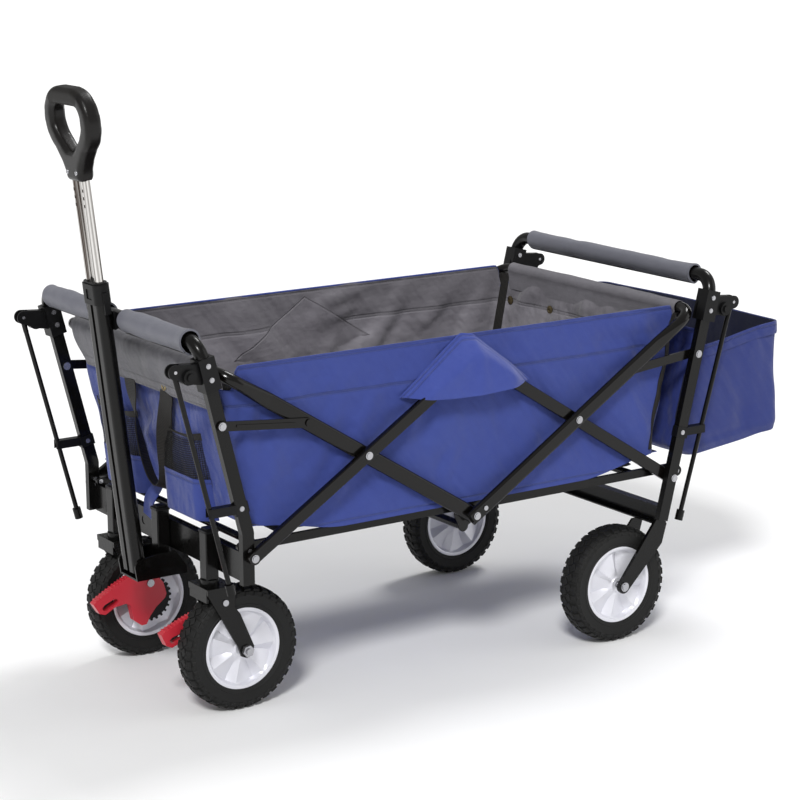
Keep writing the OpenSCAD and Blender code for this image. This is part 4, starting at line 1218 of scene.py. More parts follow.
    def make_inner_flaps(self) -> bpy.types.Object:
        """The doubled lining at the top joint, on both side walls.

        Returns:
            Both flaps as one piece.
        """
        cloths = [self.inner_flap_rows(far) for far in (False, True)]
        behind = [Vector((0.0, y, 480.0)) for y in (-400.0, 400.0)]
        name, wall = f"inner_flaps_{self.end.word}", f"basket_wall_{self.end.word}"
        flaps = hang_pair(name, cloths, behind)
        back_with(flaps, 0.9, Finish.GREY_PATCH, Finish.GREY_PATCH, levels=0)
        return flaps

    def corner_tape_rows(self, far: bool, outside: bool) -> Rows:
        """Rows of the tape down one end corner.

        Args:
            far: whether it is the far corner.
            outside: whether it is on the canvas or on the lining.

        Returns:
            Rows from its top down.
        """
        off = -self.thickness - 1.6 if outside else 1.6
        half, shift = (6.5, -12.0) if outside else (8.5, 0.0)
        rows = []
        for z in spread(self.corner_top + 18.0, self.end_low + 8.0, 34):
            corner = self.panel_x(z) - self.corner_r + math.pi / 4.0 * self.corner_r
            row = []
            for u in spread(-1.0, 1.0, 7):
                t = (corner + u * half + shift) / self.girth(z)
                row.append(self.inside(1.0 - t if far else t, z, off + 0.5 * abs(u)))
            rows.append(row)
        return rows

    def make_corner_tape(self, outside: bool) -> bpy.types.Object:
        """Black tape sewn down both end corners.

        Args:
            outside: whether it is on the canvas or on the lining.

        Returns:
            Both tapes as one piece.
        """
        cloths = [self.corner_tape_rows(far, outside) for far in (False, True)]
        behind = [Vector((self.end.side * 900.0, 0.0, 420.0))] * 2
        place = "outer" if outside else "inner"
        name, wall = f"{place}_corner_tapes_{self.end.word}", f"basket_wall_{self.end.word}"
        tapes = hang_pair(name, cloths, behind)
        back_with(tapes, 1.2, Finish.WEBBING, Finish.WEBBING, levels=0)
        return tapes

    def make_snaps(self) -> bpy.types.Object:
        """A row of brass snaps across the inside of the end panel.

        Returns:
            All the snaps as one piece.
        """
        x = self.end.side * (self.panel_x(self.snap_z) - self.thickness - 1.6)
        caps = []
        for y in (-220.0, -100.0, 100.0, 220.0):
            bpy.ops.mesh.primitive_cylinder_add(vertices=28, radius=4.2 * MM, depth=2.2 * MM)
            cap = named("snap")
            mark = Vector((x, y, self.snap_z))
            cap.matrix_world = Matrix.Translation(mark * MM) @ Matrix.Rotation(math.radians(90.0), 4, "Y")
            settle(cap)
            apply_modifier(cap, "BEVEL", width=0.8 * MM, segments=3, limit_method="ANGLE")
            with editing(cap):
                mark_faces(cap, lambda centre, normal: abs(normal.x) > 0.9)
                bpy.ops.mesh.inset(thickness=1.4 * MM)
                bpy.ops.mesh.inset(thickness=0.5 * MM, depth=-0.6 * MM)
            caps.append(cap)
        snaps = join(f"panel_snaps_{self.end.word}", caps)
        dress(snaps, Finish.BRASS)
        smooth(snaps)
        return snaps

    def swell(self, mat: bpy.types.Object) -> None:
        """Args:
            mat: the flat mat.
        """
        frames = 20
        pick_only(mat)
        cloth = mat.modifiers.new("stuffing", "CLOTH")
        cloth.settings.use_pressure = True
        cloth.settings.uniform_pressure_force = 4.0
        cloth.settings.effector_weights.gravity = 0.0
        scene = bpy.context.scene
        scene.frame_start, scene.frame_end = 1, frames
        cloth.point_cache.frame_start, cloth.point_cache.frame_end = 1, frames
        for frame in range(1, frames + 1):
            scene.frame_set(frame)
        bpy.ops.object.modifier_apply(modifier=cloth.name)
        scene.frame_set(1)

    def make_mat(self) -> bpy.types.Object:
        """The padded floor mat, swollen and then quilted across its middle.

        Returns:
            The mat.
        """
        reach = self.panel_x(self.end_low) - 40.0
        middle, swollen, bed = (self.low + 8.0) * MM, 5.0 * MM, (self.low + 3.4) * MM
        bpy.ops.mesh.primitive_cube_add(size=1.0, location=(self.end.side * reach / 2.0 * MM, 0.0, middle))
        mat = named(f"floor_mat_{self.end.word}")
        mat.scale = ((reach - 6.0) * MM, (2.0 * self.half_width - 18.0) * MM, 5.0 * MM)
        settle(mat)
        with editing(mat):
            bpy.ops.mesh.select_all(action="SELECT")
            bpy.ops.mesh.subdivide(number_cuts=5)
        apply_modifier(mat, "BEVEL", width=2.0 * MM, segments=2, limit_method="ANGLE")
        apply_modifier(mat, "REMESH", mode="VOXEL", voxel_size=4.5 * MM)
        rest = [v.co.copy() for v in mat.data.vertices]
        self.swell(mat)
        seam = reach / 2.0 * MM
        for vertex, was in zip(mat.data.vertices, rest):
            moved = vertex.co - was
            if moved.length > swollen:
                moved *= swollen / moved.length
            vertex.co = was + moved
            pinch = 1.0 - 0.75 * math.exp(-(((abs(vertex.co.x) - seam) / (7.0 * MM)) ** 2))
            vertex.co.z = max(middle + (vertex.co.z - middle) * pinch, bed)
        dress(mat, Finish.NAVY_PAD)
        apply_modifier(mat, "SUBSURF", levels=1, render_levels=1)
        smooth(mat, 60.0)
        return mat

    def build(self) -> list[bpy.types.Object]:
        """Makes this half's pieces and rides them on the hoop.

        Returns:
            The pieces.
        """
        made = [self.make_wall(), self.make_floor(), self.make_edging(), self.make_sleeve(), self.make_mat()]
        made += [self.make_inner_flaps(), self.make_corner_tape(False)]
        if self.end is End.REAR:
            made += [self.make_snaps(), self.make_corner_tape(True)]
        for piece in made:
            self.fold(piece)
        return made

    def fold(self, piece: bpy.types.Object) -> None:
        """Rides a piece on the hoop and gives it a mesh of its own.

        Args:
            piece: what folds.
        """
        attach(piece, self.end.body)
        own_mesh(piece)


@dataclass(frozen=True)
class Pocket:
    """Sizes of a net pocket with an elastic mouth, on a box of canvas, mm."""

    word: str
    near_y: float
    far_y: float
    foot: float
    seam: float
    mouth: float
    foot_out: float
    seam_out: float
    mouth_out: float
    dip: float


@dataclass
class FrontDressing:
    """Valance, pockets, webbing loop and pull tab of the front panel.

    Past turn_from the valance turns back towards the posts, by turn_near and turn_far.
    """

    basket: Basket
    valance_low: float = 495.0
    valance_half: float = 229.0
    turn_from: float = 214.0
    turn_over: float = 24.0
    turn_near: float = 7.0
    turn_far: float = 16.0
    eyelet_z: float = 508.0
    web_half: float = 18.0
    tab_top: float = 338.0
    tab_low: float = 272.0

    def face(self, y: float, z: float, off: float) -> Vector:
        """A point off the front panel."""
        return Vector((-(self.basket.panel_x(z) + off), y, z))

    def valance_section(self) -> list[Vector]:
        """The valance's section, from over the hoop's tube down to its hem.

        Returns:
            Points in the wagon's middle plane.
        """
        tube, radius = self.basket.tube, self.basket.tube_r + 4.2
        section = []
        for angle in spread(118.0, 0.0, 12):
            a = math.radians(angle)
            section.append(tube + Vector((-radius * math.cos(a), 0.0, radius * math.sin(a))))
        for z in spread(tube.z - 6.0, self.valance_low, 13):
            falls_in = ease((tube.z - z) / 70.0)
            section.append(Vector((mix(tube.x - radius, -(self.basket.panel_x(z) + 5.0), falls_in), 0.0, z)))
        return section

    def make_valance(self) -> bpy.types.Object:
        """The grey flap that hangs over the front panel and turns back at both corners.

        Returns:
            The valance.
        """
        folds = Creases(71, 20, (2.0 * self.valance_half, 90.0), 3.4, 75.0)
        section = self.valance_section()
        rows = []
        for k, point in enumerate(section):
            turned = 0.4 + 0.6 * k / len(section)
            row = []
            for y in spread(-self.valance_half, self.valance_half, 84):
                corner = ease((abs(y) - self.turn_from) / self.turn_over)
                back = corner * (self.turn_far if y > 0.0 else self.turn_near) * turned
                lift = max(-1.0, folds.at(y + self.valance_half, k * 4.0)) * ease(k / 8.0)
                row.append(point + Vector((back - lift, y, 0.0)))
            rows.append(row)
        rows.reverse()
        valance = woven("front_valance", rows, Vector((-300.0, 0.0, 500.0)))
        hang(rows)
        back_with(valance, 1.6, Finish.GREY_HEM, Finish.GREY_HEM)
        return valance

    def make_eyelets(self) -> bpy.types.Object:
        """Brass eyelets near the valance's lower edge, very slightly flattened on the cloth.

        Returns:
            The eyelets as one piece.
        """
        rings = []
        for y, off in ((-62.0, 8.2), (222.0, -2.0)):
            bpy.ops.mesh.primitive_torus_add(
                major_radius=5.2 * MM, minor_radius=1.3 * MM, major_segments=28, minor_segments=8
            )
            ring = named("eyelet")
            spot = self.face(y, self.eyelet_z, off)
            ring.matrix_world = Matrix.Translation(spot * MM) @ Matrix.Rotation(math.radians(90.0), 4, "Y")
            rings.append(settle(ring))
        eyelets = join("valance_eyelets", rings)
        with editing(eyelets):
            bpy.ops.mesh.select_all(action="SELECT")
            bpy.ops.transform.resize(value=(0.999, 1.0, 1.0))
        dress(eyelets, Finish.BRASS)
        smooth(eyelets)
        return eyelets

    def pocket_rows(
        self, sides: tuple[float, float], levels: tuple[float, float], outs: tuple[float, float], dip: float
    ) -> Rows:
        """Rows of a gathered pocket's front.

        Args:
            sides: places of its two sides along Y, mm.
            levels: heights of its lower and its upper edge.
            outs: how far it stands off the panel at its lower and its upper edge.
            dip: how far the upper edge sags.

        Returns:
            Rows from the upper edge down.
        """
        rows = []
        for v in spread(0.0, 1.0, 16):
            z = mix(levels[1], levels[0], v)
            row = []
            for u in spread(0.0, 1.0, 26):
                swell = min(1.0, math.sin(math.pi * u) * 2.4) ** 0.7 * mix(outs[1], outs[0], v)
                sag = dip * math.sin(math.pi * u) * (1.0 - v)
                row.append(self.face(mix(*sides, u), z - sag, 1.0 + swell))
            rows.append(row)
        return rows

    def pocket_bottom(self, edge: list[Vector]) -> Rows:
        """Rows that close a pocket's base back to the panel.

        Args:
            edge: the lower row of the base's front.

        Returns:
            Rows from the front to the panel.
        """
        rows = []
        for back in (0.06, 0.35, 0.7, 1.0):
            row = []
            for point in edge:
                wall = -(self.basket.panel_x(point.z) + 0.6)
                row.append(Vector((mix(point.x, wall, back), point.y, point.z - 3.0 * (1.0 - back))))
            rows.append(row)
        return rows

    def make_pocket(self, p: Pocket) -> list[bpy.types.Object]:
        """The net, the canvas base and the elastic mouth of one pocket.

        Args:
            p: the pocket's sizes.

        Returns:
            The three pieces.
        """
        wide, half_band = (p.near_y - 1.0, p.far_y + 1.0), 6.0
        mouth = (p.mouth + 1.0 - half_band, p.mouth + 1.0 + half_band)
        net = self.pocket_rows((p.near_y, p.far_y), (p.seam, p.mouth), (p.seam_out, p.mouth_out), p.dip)
        base = self.pocket_rows(wide, (p.foot, p.seam + 1.0), (p.foot_out, p.seam_out + 0.5), 0.0)
        base += self.pocket_bottom(base[-1])
        elastic = self.pocket_rows(wide, mouth, (p.mouth_out + 0.5, p.mouth_out - 0.5), p.dip)
        made = []
        for kind, rows, finish, thickness in (
            ("net", net, Finish.NET, 0.8),
            ("base", base, Finish.BLUE_PLAIN, 1.2),
            ("elastic", elastic, Finish.WEBBING, 1.2),
        ):
            piece = woven(f"front_{kind}_{p.word}", rows, Vector((-300.0, 0.0, 380.0)))
            hang(rows)
            back_with(piece, thickness, finish, finish, levels=0)
            made.append(piece)
        return made

    def loop_path(self) -> list[tuple[float, float]]:
        """The webbing loop's way over the panel, from its near end to its far one.

        Returns:
            Points in Y and Z, mm, eased over their corners.
        """
        stations = ((-62.0, 498.0), (-46.0, 455.0), (-33.0, 410.0), (-27.0, 365.0), (-16.0, 337.0))
        stations += ((6.0, 325.0), (30.0, 338.0), (44.0, 372.0), (53.0, 420.0), (58.0, 460.0), (62.0, 498.0))
        points: list[tuple[float, float]] = []
        for a, b in zip(stations, stations[1:]):
            points += [(mix(a[0], b[0], k / 6.0), mix(a[1], b[1], k / 6.0)) for k in range(6)]
        points.append(stations[-1])
        for _ in range(5):
            eased = [
                ((p[0] + q[0] + r[0]) / 3.0, (p[1] + q[1] + r[1]) / 3.0)
                for p, q, r in zip(points, points[1:], points[2:])
            ]
            points = [points[0], *eased, points[-1]]
        return points

    def make_loop(self) -> bpy.types.Object:
        """The hanging loop of ribbed webbing, which turns on edge towards its bottom.

        Returns:
            The loop.
        """
        points = self.loop_path()
        rows: Rows = []
        for across in spread(-self.web_half, self.web_half, 7):
            row = []
            for k, (y, z) in enumerate(points):
                ahead, behind = points[min(k + 1, len(points) - 1)], points[max(k - 1, 0)]
                dy, dz = ahead[0] - behind[0], ahead[1] - behind[1]
                norm = math.hypot(dy, dz)
                hung = math.sin(math.pi * k / (len(points) - 1))
                turn = ease(hung * 1.15 - 0.1) * math.radians(66.0)
                slim = across * mix(1.0, 0.55, ease(hung))
                flat, deep = slim * math.cos(turn), slim * math.sin(turn)
                lift = 6.0 + 15.0 * hung + deep
                row.append(self.face(y - flat * dz / norm, z + flat * dy / norm, lift))
            rows.append(row)
        loop = woven("front_webbing_loop", rows, Vector((-300.0, 0.0, 420.0)))
        hang(rows)
        back_with(loop, 1.6, Finish.WEBBING, Finish.WEBBING, levels=0)
        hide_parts("front_straps")
        return loop

    def make_tab(self) -> bpy.types.Object:
        """The blue pull tab that hangs at the foot of the panel.

        Returns:
            The tab.
        """
        rows = []
        for v in spread(0.0, 1.0, 14):
            z = mix(self.tab_top, self.tab_low, v)
            out = mix(3.0, 27.0, ease(v * 1.5))
            row = []
            for u in spread(0.0, 1.0, 9):
                y = mix(18.0 + 6.0 * v, 56.0 - 2.0 * v, u)
                drop = (10.0 * (1.0 - u) - 4.0) * v
                foot = self.face(y, max(z, self.basket.end_low), out + 1.5 * math.sin(4.0 * v + 3.0 * u))
                row.append(Vector((foot.x, y, z - drop)))
            rows.append(row)
        tab = woven("front_pull_tab", rows, Vector((-300.0, 0.0, 320.0)))
        hang(rows)
        back_with(tab, 1.6, Finish.BLUE_PLAIN, Finish.BLUE_PLAIN, levels=0)
        return tab

    def build(self) -> list[bpy.types.Object]:
        """Makes the front panel's pieces, which ride on the front hoop with the front half of the basket.

        Returns:
            The pieces.
        """
        near = Pocket("near", -142.0, -12.0, 306.0, 370.0, 440.0, 30.0, 20.0, 9.0, dip=9.0)
        far = Pocket("far", 72.0, 212.0, 302.0, 362.0, 434.0, 22.0, 15.0, 8.0, dip=8.0)
        pockets = [*self.make_pocket(near), *self.make_pocket(far)]
        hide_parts("front_pockets")
        made = [self.make_valance(), self.make_eyelets(), *pockets, self.make_loop(), self.make_tab()]
        for piece in made:
            self.basket.fold(piece)
        return made


@dataclass
class SideFlap:
    """A peaked flap that drapes from the wall's top edge over the top joint.

    Its tips are given in X and Z. The bars under it fall away from the joint by bar_slope.
    """

    side: float
    word: str
    peak: float
    front: tuple[float, float] = (-135.0, 486.0)
    rear: tuple[float, float] = (117.0, 484.5)
    wall_y: float = 249.5
    out_y: float = 281.0
    joint_z: float = 537.0
    bar_slope: float = 0.631
    bar_half: float = 21.0

    def upper(self, t: float) -> tuple[float, float]:
        """A point of the flap's upper edge.

        Args:
            t: 0 at its front tip, 1 at its rear one.

        Returns:
            The point in X and Z, mm.
        """
        path = (self.front, (-17.0, self.peak), (7.0, self.peak - 3.0), self.rear)
        x = mix(self.front[0], self.rear[0], t)
        k = max(i for i in range(len(path) - 1) if path[i][0] <= x)
        part = (x - path[k][0]) / (path[k + 1][0] - path[k][0])
        return x, mix(path[k][1], path[k + 1][1], part)

    def lower(self, t: float) -> tuple[float, float]:
        """A point of the flap's curved lower edge.

        Args:
            t: 0 at its front tip, 1 at its rear one.

        Returns:
            The point in X and Z, mm.
        """
        sag = 9.0 * math.sin(math.pi * t) ** 0.8
        return mix(self.front[0], self.rear[0], t), mix(self.front[1], self.rear[1], t) - sag

    def rows(self) -> Rows:
        """Rows from the upper edge to the lower one.

        Returns:
            The rows.
        """
        made = []
        high = 90.0
        folds = Creases(91, 12, (self.rear[0] - self.front[0], high), 2.2, 80.0)
        for v in spread(0.0, 1.0, 22):
            row = []
            for t in spread(0.004, 0.996, 56):
                (x0, z0), (x1, z1) = self.upper(t), self.lower(t)
                x, z = mix(x0, x1, v), mix(z0, z1, v)
                bar_top = self.joint_z - abs(x) * self.bar_slope + self.bar_half
                out = ease((bar_top + 24.0 - z) / 40.0)
                near_end = ease(min(t, 1.0 - t) / 0.2)
                y = mix(self.wall_y + 3.0, self.out_y, out * (0.25 + 0.75 * near_end))
                ridge = 4.0 * math.exp(-(((x - 8.0) / 12.0) ** 2)) * v * (1.0 - 0.5 * v)
                lift = max(-1.0, folds.at(x - self.front[0], (1.0 - v) * high))
                over = ease(1.0 - v / 0.08) * near_end * 3.0
                row.append(Vector((x, self.side * (y + ridge + lift * near_end * out - over), z)))
            made.append(row)
        return made

    def build(self) -> bpy.types.Object:
        """Makes the flap.

        Returns:
            The flap.
        """
        rows = self.rows()
        flap = woven(f"side_flap_{self.word}", rows, Vector((0.0, 0.0, 500.0)))
        hang(rows)
        back_with(flap, 1.4, Finish.FLAP, Finish.FLAP)
        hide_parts("side_flaps")
        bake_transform(flap)
        return flap


# ---------------------------------------------------------------- the rear bag


@dataclass
class RearBag:
    """Open canvas bag that hangs behind the rear posts.

    Its front leans with the posts, its bottom rises from rise_from to the back, and its foot is
    gathered and tucked in. Turns counts the points of a ring, and around is a ring's pattern length.
    """

    low: float = 297.0
    top: float = 520.0
    front_x: float = 426.0
    back: float = 676.5
    bulge: float = 9.5
    half: float = 244.5
    rise: float = 20.0
    rise_from: float = 480.0
    corner_r: float = 18.0
    sag_z: float = 491.0
    pivot_z: float = 277.0
    lean: float = 0.2475
    hem: float = 24.0
    gathered: float = 46.0
    tuck: float = 4.0
    turns: int = 168
    around: float = 1300.0

    def front_at(self, z: float) -> float:
        """Place of the bag's front panel at a height."""
        return self.front_x + (z - self.pivot_z) * self.lean

    def low_at(self, x: float) -> float:
        """Height of the bag's bottom, which rises towards its back."""
        return self.low + self.rise * min(1.0, max(0.0, (x - self.rise_from) / (self.back - self.rise_from)))

    def ring(self, v: float) -> list[Vector]:
        """One ring of the bag's wall, from its top (0) to its bottom (1)."""
        return [self.wall_point(k / self.turns, v) for k in range(self.turns)]

    def mouth_z(self, x: float, y: float, front: float, back: float, half: float) -> float:
        """Height of the bag's top edge.

        Args:
            x: place along the wagon, mm.
            y: place across it.
            front: place of the front panel.
            back: place of the back panel.
            half: half of the bag's width.

        Returns:
            The height, mm.
        """
        if abs(y) > half - 3.0:
            start = self.front_at(500.0)
            reach = (x - start) / (self.back - start)
            return mix(self.sag_z, self.top - 6.0, ease(reach * 1.05))
        if x > (front + back) / 2.0:
            return self.top - 6.0 + 3.0 * math.cos(math.pi * y / (2.0 * half)) ** 2
        return self.top

    def wall_point(self, t: float, v: float) -> Vector:
        """A point of the wall.

        Args:
            t: 0 to 1 round the bag, from the near front corner along the near side.
            v: 0 at the top edge, 1 at the bottom.

        Returns:
            The point, mm.
        """
        foot = ease((v - 0.9) / 0.1)
        front = self.front_at(mix(self.top, self.low, v)) + self.gathered * foot
        back = self.back + self.bulge * v - self.tuck * ease((v - 0.94) / 0.06)
        half = self.half - self.tuck * foot
        deep = back - front
        sides = (deep, 2.0 * half, deep, 2.0 * half)
        run = t * sum(sides)
        if run < sides[0]:
            x, y = front + run, -half
        elif run < sides[0] + sides[1]:
            x, y = back, -half + (run - sides[0])
        elif run < sum(sides[:3]):
            x, y = back - (run - sides[0] - sides[1]), half
        else:
            x, y = front, half - (run - sum(sides[:3]))
        x, y = self.soften(x, y, front, back, half, self.corner_r)
        return Vector((x, y, mix(self.mouth_z(x, y, front, back, half), self.low_at(x), v)))

    @staticmethod
    def soften(
        x: float, y: float, low_x: float, high_x: float, half: float, r: float
    ) -> tuple[float, float]:
        """Rounds a rectangle's corners.

        Args:
            x: a place on the rectangle, mm.
            y: the same across.
            low_x: its front side.
            high_x: its back side.
            half: half of its width.
            r: radius of the corners.

        Returns:
            The rounded place.
        """
        cx = min(max(x, low_x + r), high_x - r)
        cy = min(max(y, -half + r), half - r)
        dx, dy = x - cx, y - cy
        if abs(dx) > 1e-6 and abs(dy) > 1e-6:
            far = math.hypot(dx, dy)
            return cx + dx / far * r, cy + dy / far * r
        return x, y

    def wall_rows(self) -> Rows:
        """Creased rings of the wall, from the top down.

        Returns:
            The rings.
        """
        high = 220.0
        folds = Creases(131, 44, (self.around, high), 5.0, 70.0)
        broad = Creases(17, 16, (self.around, high), 6.0, 12.0)
        made = []
        for v in spread(0.0, 1.0, 30):
            ring = self.ring(v)
            calm = ease(v / 0.2) * 0.9 + 0.1
            row = []
            for k, point in enumerate(ring):
                t = k / self.turns
                out = (ring[(k + 1) % self.turns] - ring[k - 1]).normalized().cross(UP)
                lift = (folds.at(t * self.around, v * high) + broad.at(t * self.around, v * high)) * calm
                hollow = 3.0 * math.sin(math.pi * v) * math.sin(4.0 * math.pi * t) ** 2
                lift = min(lift, 2.0) - hollow
                if abs(point.x - self.front_at(point.z)) < 8.0:
                    lift = min(lift, 0.0) * 0.3
                row.append(point + out * lift)
            made.append(row)
        return made

    def rows(self) -> Rows:
        """Rings of the wall, then rings of the bottom closing in.

        Returns:
            The rings.
        """
        made = self.wall_rows()
        middle = (self.front_at(self.low) + self.back) / 2.0
        centre = Vector((middle, 0.0, self.low_at(middle)))
        floor = made[-1]
        for shrink, lift in ((0.985, 3.0), (0.95, 0.5), (0.85, -0.5), (0.6, 0.0), (0.3, 0.0), (0.04, 0.0)):
            made.append([centre.lerp(p, shrink) + UP * lift for p in floor])
        return made

    def make_hem(self) -> bpy.types.Object:
        """The folded hem round the bag's mouth.

        Returns:
            The hem.
        """
        rows: Rows = []
        steps, over = 9, 3
        ring = self.ring(0.0)
        lower = self.ring(self.hem / (self.top - self.low))
        for k in range(steps):
            turn = math.pi * k / (over + 1.0)
            row = []
            for i, (a, b) in enumerate(zip(ring, lower)):
                out = (ring[(i + 1) % self.turns] - ring[i - 1]).normalized().cross(UP)
                if k < over:
                    point = a + out * (1.4 * math.sin(turn)) + UP * (1.2 * math.cos(turn))
                else:
                    point = a.lerp(b, (k - 2) / (steps - 3)) + out * (1.9 if k < steps - 1 else 0.9)
                row.append(point)
            rows.append(row)
        hem = woven("rear_bag_hem", rows, Vector((570.0, 0.0, 400.0)), loop=True)
        hang(rows, loop=True)
        back_with(hem, 0.9, Finish.BAG, Finish.BAG, levels=0)
        return hem

    def wing_rows(self, side: float) -> Rows:
        """Rows of one wing, from its top down.

        Args:
            side: -1 for the near side, 1 for the far one.

        Returns:
            The rows.
        """
        rows = []
        for z in spread(447.0, 373.0, 10):
            row = []
            for u in spread(0.0, 1.0, 8):
                x = mix(self.front_at(z) + 6.0, self.front_at(z) - 15.0, u)
                row.append(Vector((x, side * mix(self.half + 0.6, 250.0, ease(u * 2.0)), z)))
            rows.append(row)
        return rows

    def make_wings(self) -> bpy.types.Object:
        """Two wings that button the bag to the posts.

        Returns:
            Both wings as one piece.
        """
        cloths = [self.wing_rows(side) for side in (-1.0, 1.0)]
        within = [Vector((500.0, 0.0, 400.0))] * 2
        wings = hang_pair("rear_bag_wings", cloths, within)
        back_with(wings, 1.6, Finish.NAVY, Finish.NAVY, levels=0)
        return wings

    def build(self) -> list[bpy.types.Object]:
        """Makes the bag, which stays with the rear frame.

        Returns:
            The pieces.
        """
        rows = self.rows()
        shell = woven("rear_bag_shell", rows, Vector((560.0, 0.0, 400.0)), loop=True)
        hang(rows, loop=True)
        back_with(shell, 2.0, Finish.BAG, Finish.NAVY)
        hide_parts("rear_bag")
        made = [shell, self.make_hem(), self.make_wings()]
        for piece in made:
            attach(piece, "rear_frame")
        return made


# ---------------------------------------------------------------- grips


@dataclass
class GripSleeve:
    """Padded cloth wrapped round a push bar from near to far along Y, and closed below it."""

    name: str
    node: str
    body: str
    near: float
    far: float
    seed: int
    pad: float
    tube_r: float = 11.0

    def bar(self) -> tuple[float, float]:
        """Place of the push bar along the wagon and the height of its top, mm."""
        low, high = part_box(self.node)
        return (low[0] + high[0]) / 2.0 / MM, high[2] / MM

    def build(self) -> bpy.types.Object:
        """Makes the sleeve as a padded sheet with an overlap along its underside.

        Returns:
            The sleeve.
        """
        cx, top = self.bar()
        centre = Vector((cx, 0.0, top - self.tube_r - self.pad - 1.0))
        length = self.far - self.near
        folds = Creases(self.seed, int(length / 14.0), (length, 90.0), 1.5, 80.0)
        rows: Rows = []
        turns = 40
        for k in range(turns + 1):
            turn = mix(-1.0, 1.0, k / turns)
            angle = turn * math.radians(176.0)
            row = []
            for y in spread(self.near, self.far, int(length / 7.0)):
                end = min(y - self.near, self.far - y)
                flare = 1.2 * math.exp(-((end / 9.0) ** 2))
                drop = ease((abs(turn) - 0.62) / 0.38)
                radius = self.tube_r + self.pad + flare + 1.2 * math.sin(y * 0.045) * 0.4
                radius += max(-0.9, folds.at(y - self.near, (turn + 1.0) * 45.0)) * 0.8
                x = radius * math.sin(angle) * (1.0 - 0.15 * drop)
                z = radius * math.cos(angle) - 3.5 * drop
                row.append(centre + Vector((x, y, z)))
            rows.append(row)
        sleeve = woven(self.name, rows, centre + Vector((0.0, (self.near + self.far) / 2.0, 0.0)))
        back_with(sleeve, 3.0, Finish.SLEEVE, Finish.WEBBING)
        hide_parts(self.node)
        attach(sleeve, self.body)
        return sleeve

    def trim(self) -> bpy.types.Object:
        """The black binding along the sleeve's closed underside.

        Returns:
            The binding.
        """
        cx, top = self.bar()
        base = top - 2.0 * self.tube_r - 2.0 * self.pad - 4.0
        length = self.far - self.near - 2.0
        bpy.ops.mesh.primitive_cylinder_add(vertices=12, radius=2.1 * MM, depth=length * MM)
        band = named(f"{self.name}_binding")
        band.matrix_world = (
            Matrix.Translation(Vector((cx, (self.near + self.far) / 2.0, base)) * MM)
            @ Matrix.Rotation(math.pi / 2.0, 4, "X")
            @ Matrix.Diagonal((1.6, 1.0, 1.0, 1.0))
        )
        settle(band)
        with editing(band, "EDGE"):
            bpy.ops.mesh.select_all(action="SELECT")
            bpy.ops.mesh.bevel(offset=0.4 * MM, segments=1)
        dress(band, Finish.PLASTIC)
        smooth(band)
        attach(band, self.body)
        return band


@dataclass
class HandGrip:
    """The moulded grip of the pull handle with its softer top bar and neck screws."""

    plain: bpy.types.Object
    voxel: float = 2.0
    lean: float = HANDLE_LEAN
    pivot: tuple[float, float, float] = (-475.0, 0.0, 212.0)

    def along(self, reach: float, y: float, off: float) -> Vector:
        """A point beside the handle's axis.

        Args:
            reach: way up the axis from the pivot, mm.
            y: way across.
            off: way off its front.

        Returns:
            The point, mm.
        """
        a = math.radians(self.lean)
        return Vector(self.pivot) + Vector(
            (-reach * math.sin(a) - off * math.cos(a), y, reach * math.cos(a) - off * math.sin(a))
        )

    def make_body(self) -> bpy.types.Object:
        """Rounds the plain grip into a moulded one.

        Returns:
            The grip.
        """
        grip = twin(self.plain, "moulded_grip", Matrix.Identity(4))
        grip.parent = None
        tidy_normals(grip, 0.01 * MM)
        apply_modifier(grip, "REMESH", mode="VOXEL", voxel_size=self.voxel * MM)
        apply_modifier(grip, "SMOOTH", factor=0.6, iterations=14)
        dress(grip, Finish.GRIP, Finish.SOFT_GRIP)
        _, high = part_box("hand_grip")
        for face in grip.data.polygons:
            if face.center.z > high[2] - 30.0 * MM and abs(face.center.y) < 46.0 * MM:
                face.material_index = 1
        apply_modifier(grip, "SUBSURF", levels=1, render_levels=1)
        smooth(grip, 70.0)
        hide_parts("hand_grip")
        return grip

    def make_screws(self) -> bpy.types.Object:
        """Two domed screws through the neck.

        Returns:
            Both screws as one piece.
        """
        screws = []
        for y in (-14.5, 14.5):
            bpy.ops.mesh.primitive_uv_sphere_add(segments=20, ring_count=10, radius=4.0 * MM)
            screw = named("screw")
            screw.matrix_world = (
                Matrix.Translation(self.along(637.0, y, 13.2) * MM)
                @ Matrix.Rotation(math.radians(-90.0 + self.lean), 4, "Y")
                @ Matrix.Diagonal((1.0, 1.0, 0.55, 1.0))
            )
            settle(screw)
            screws.append(screw)
        made = join("grip_screws", screws)
        with editing(made):
            mark_faces(made, lambda centre, normal: normal.x < -0.93)
            bpy.ops.mesh.inset(thickness=0.5 * MM, depth=-0.6 * MM)
        dress(made, Finish.CHROME)
        smooth(made, 40.0)
        return made

    def build(self) -> list[bpy.types.Object]:
        """Makes the grip's pieces, which slide with the rods.

        Returns:
            The pieces.
        """
        made = [self.make_body(), self.make_screws()]
        for piece in made:
            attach(piece, "handle_top")
        return made


# ---------------------------------------------------------------- wheels


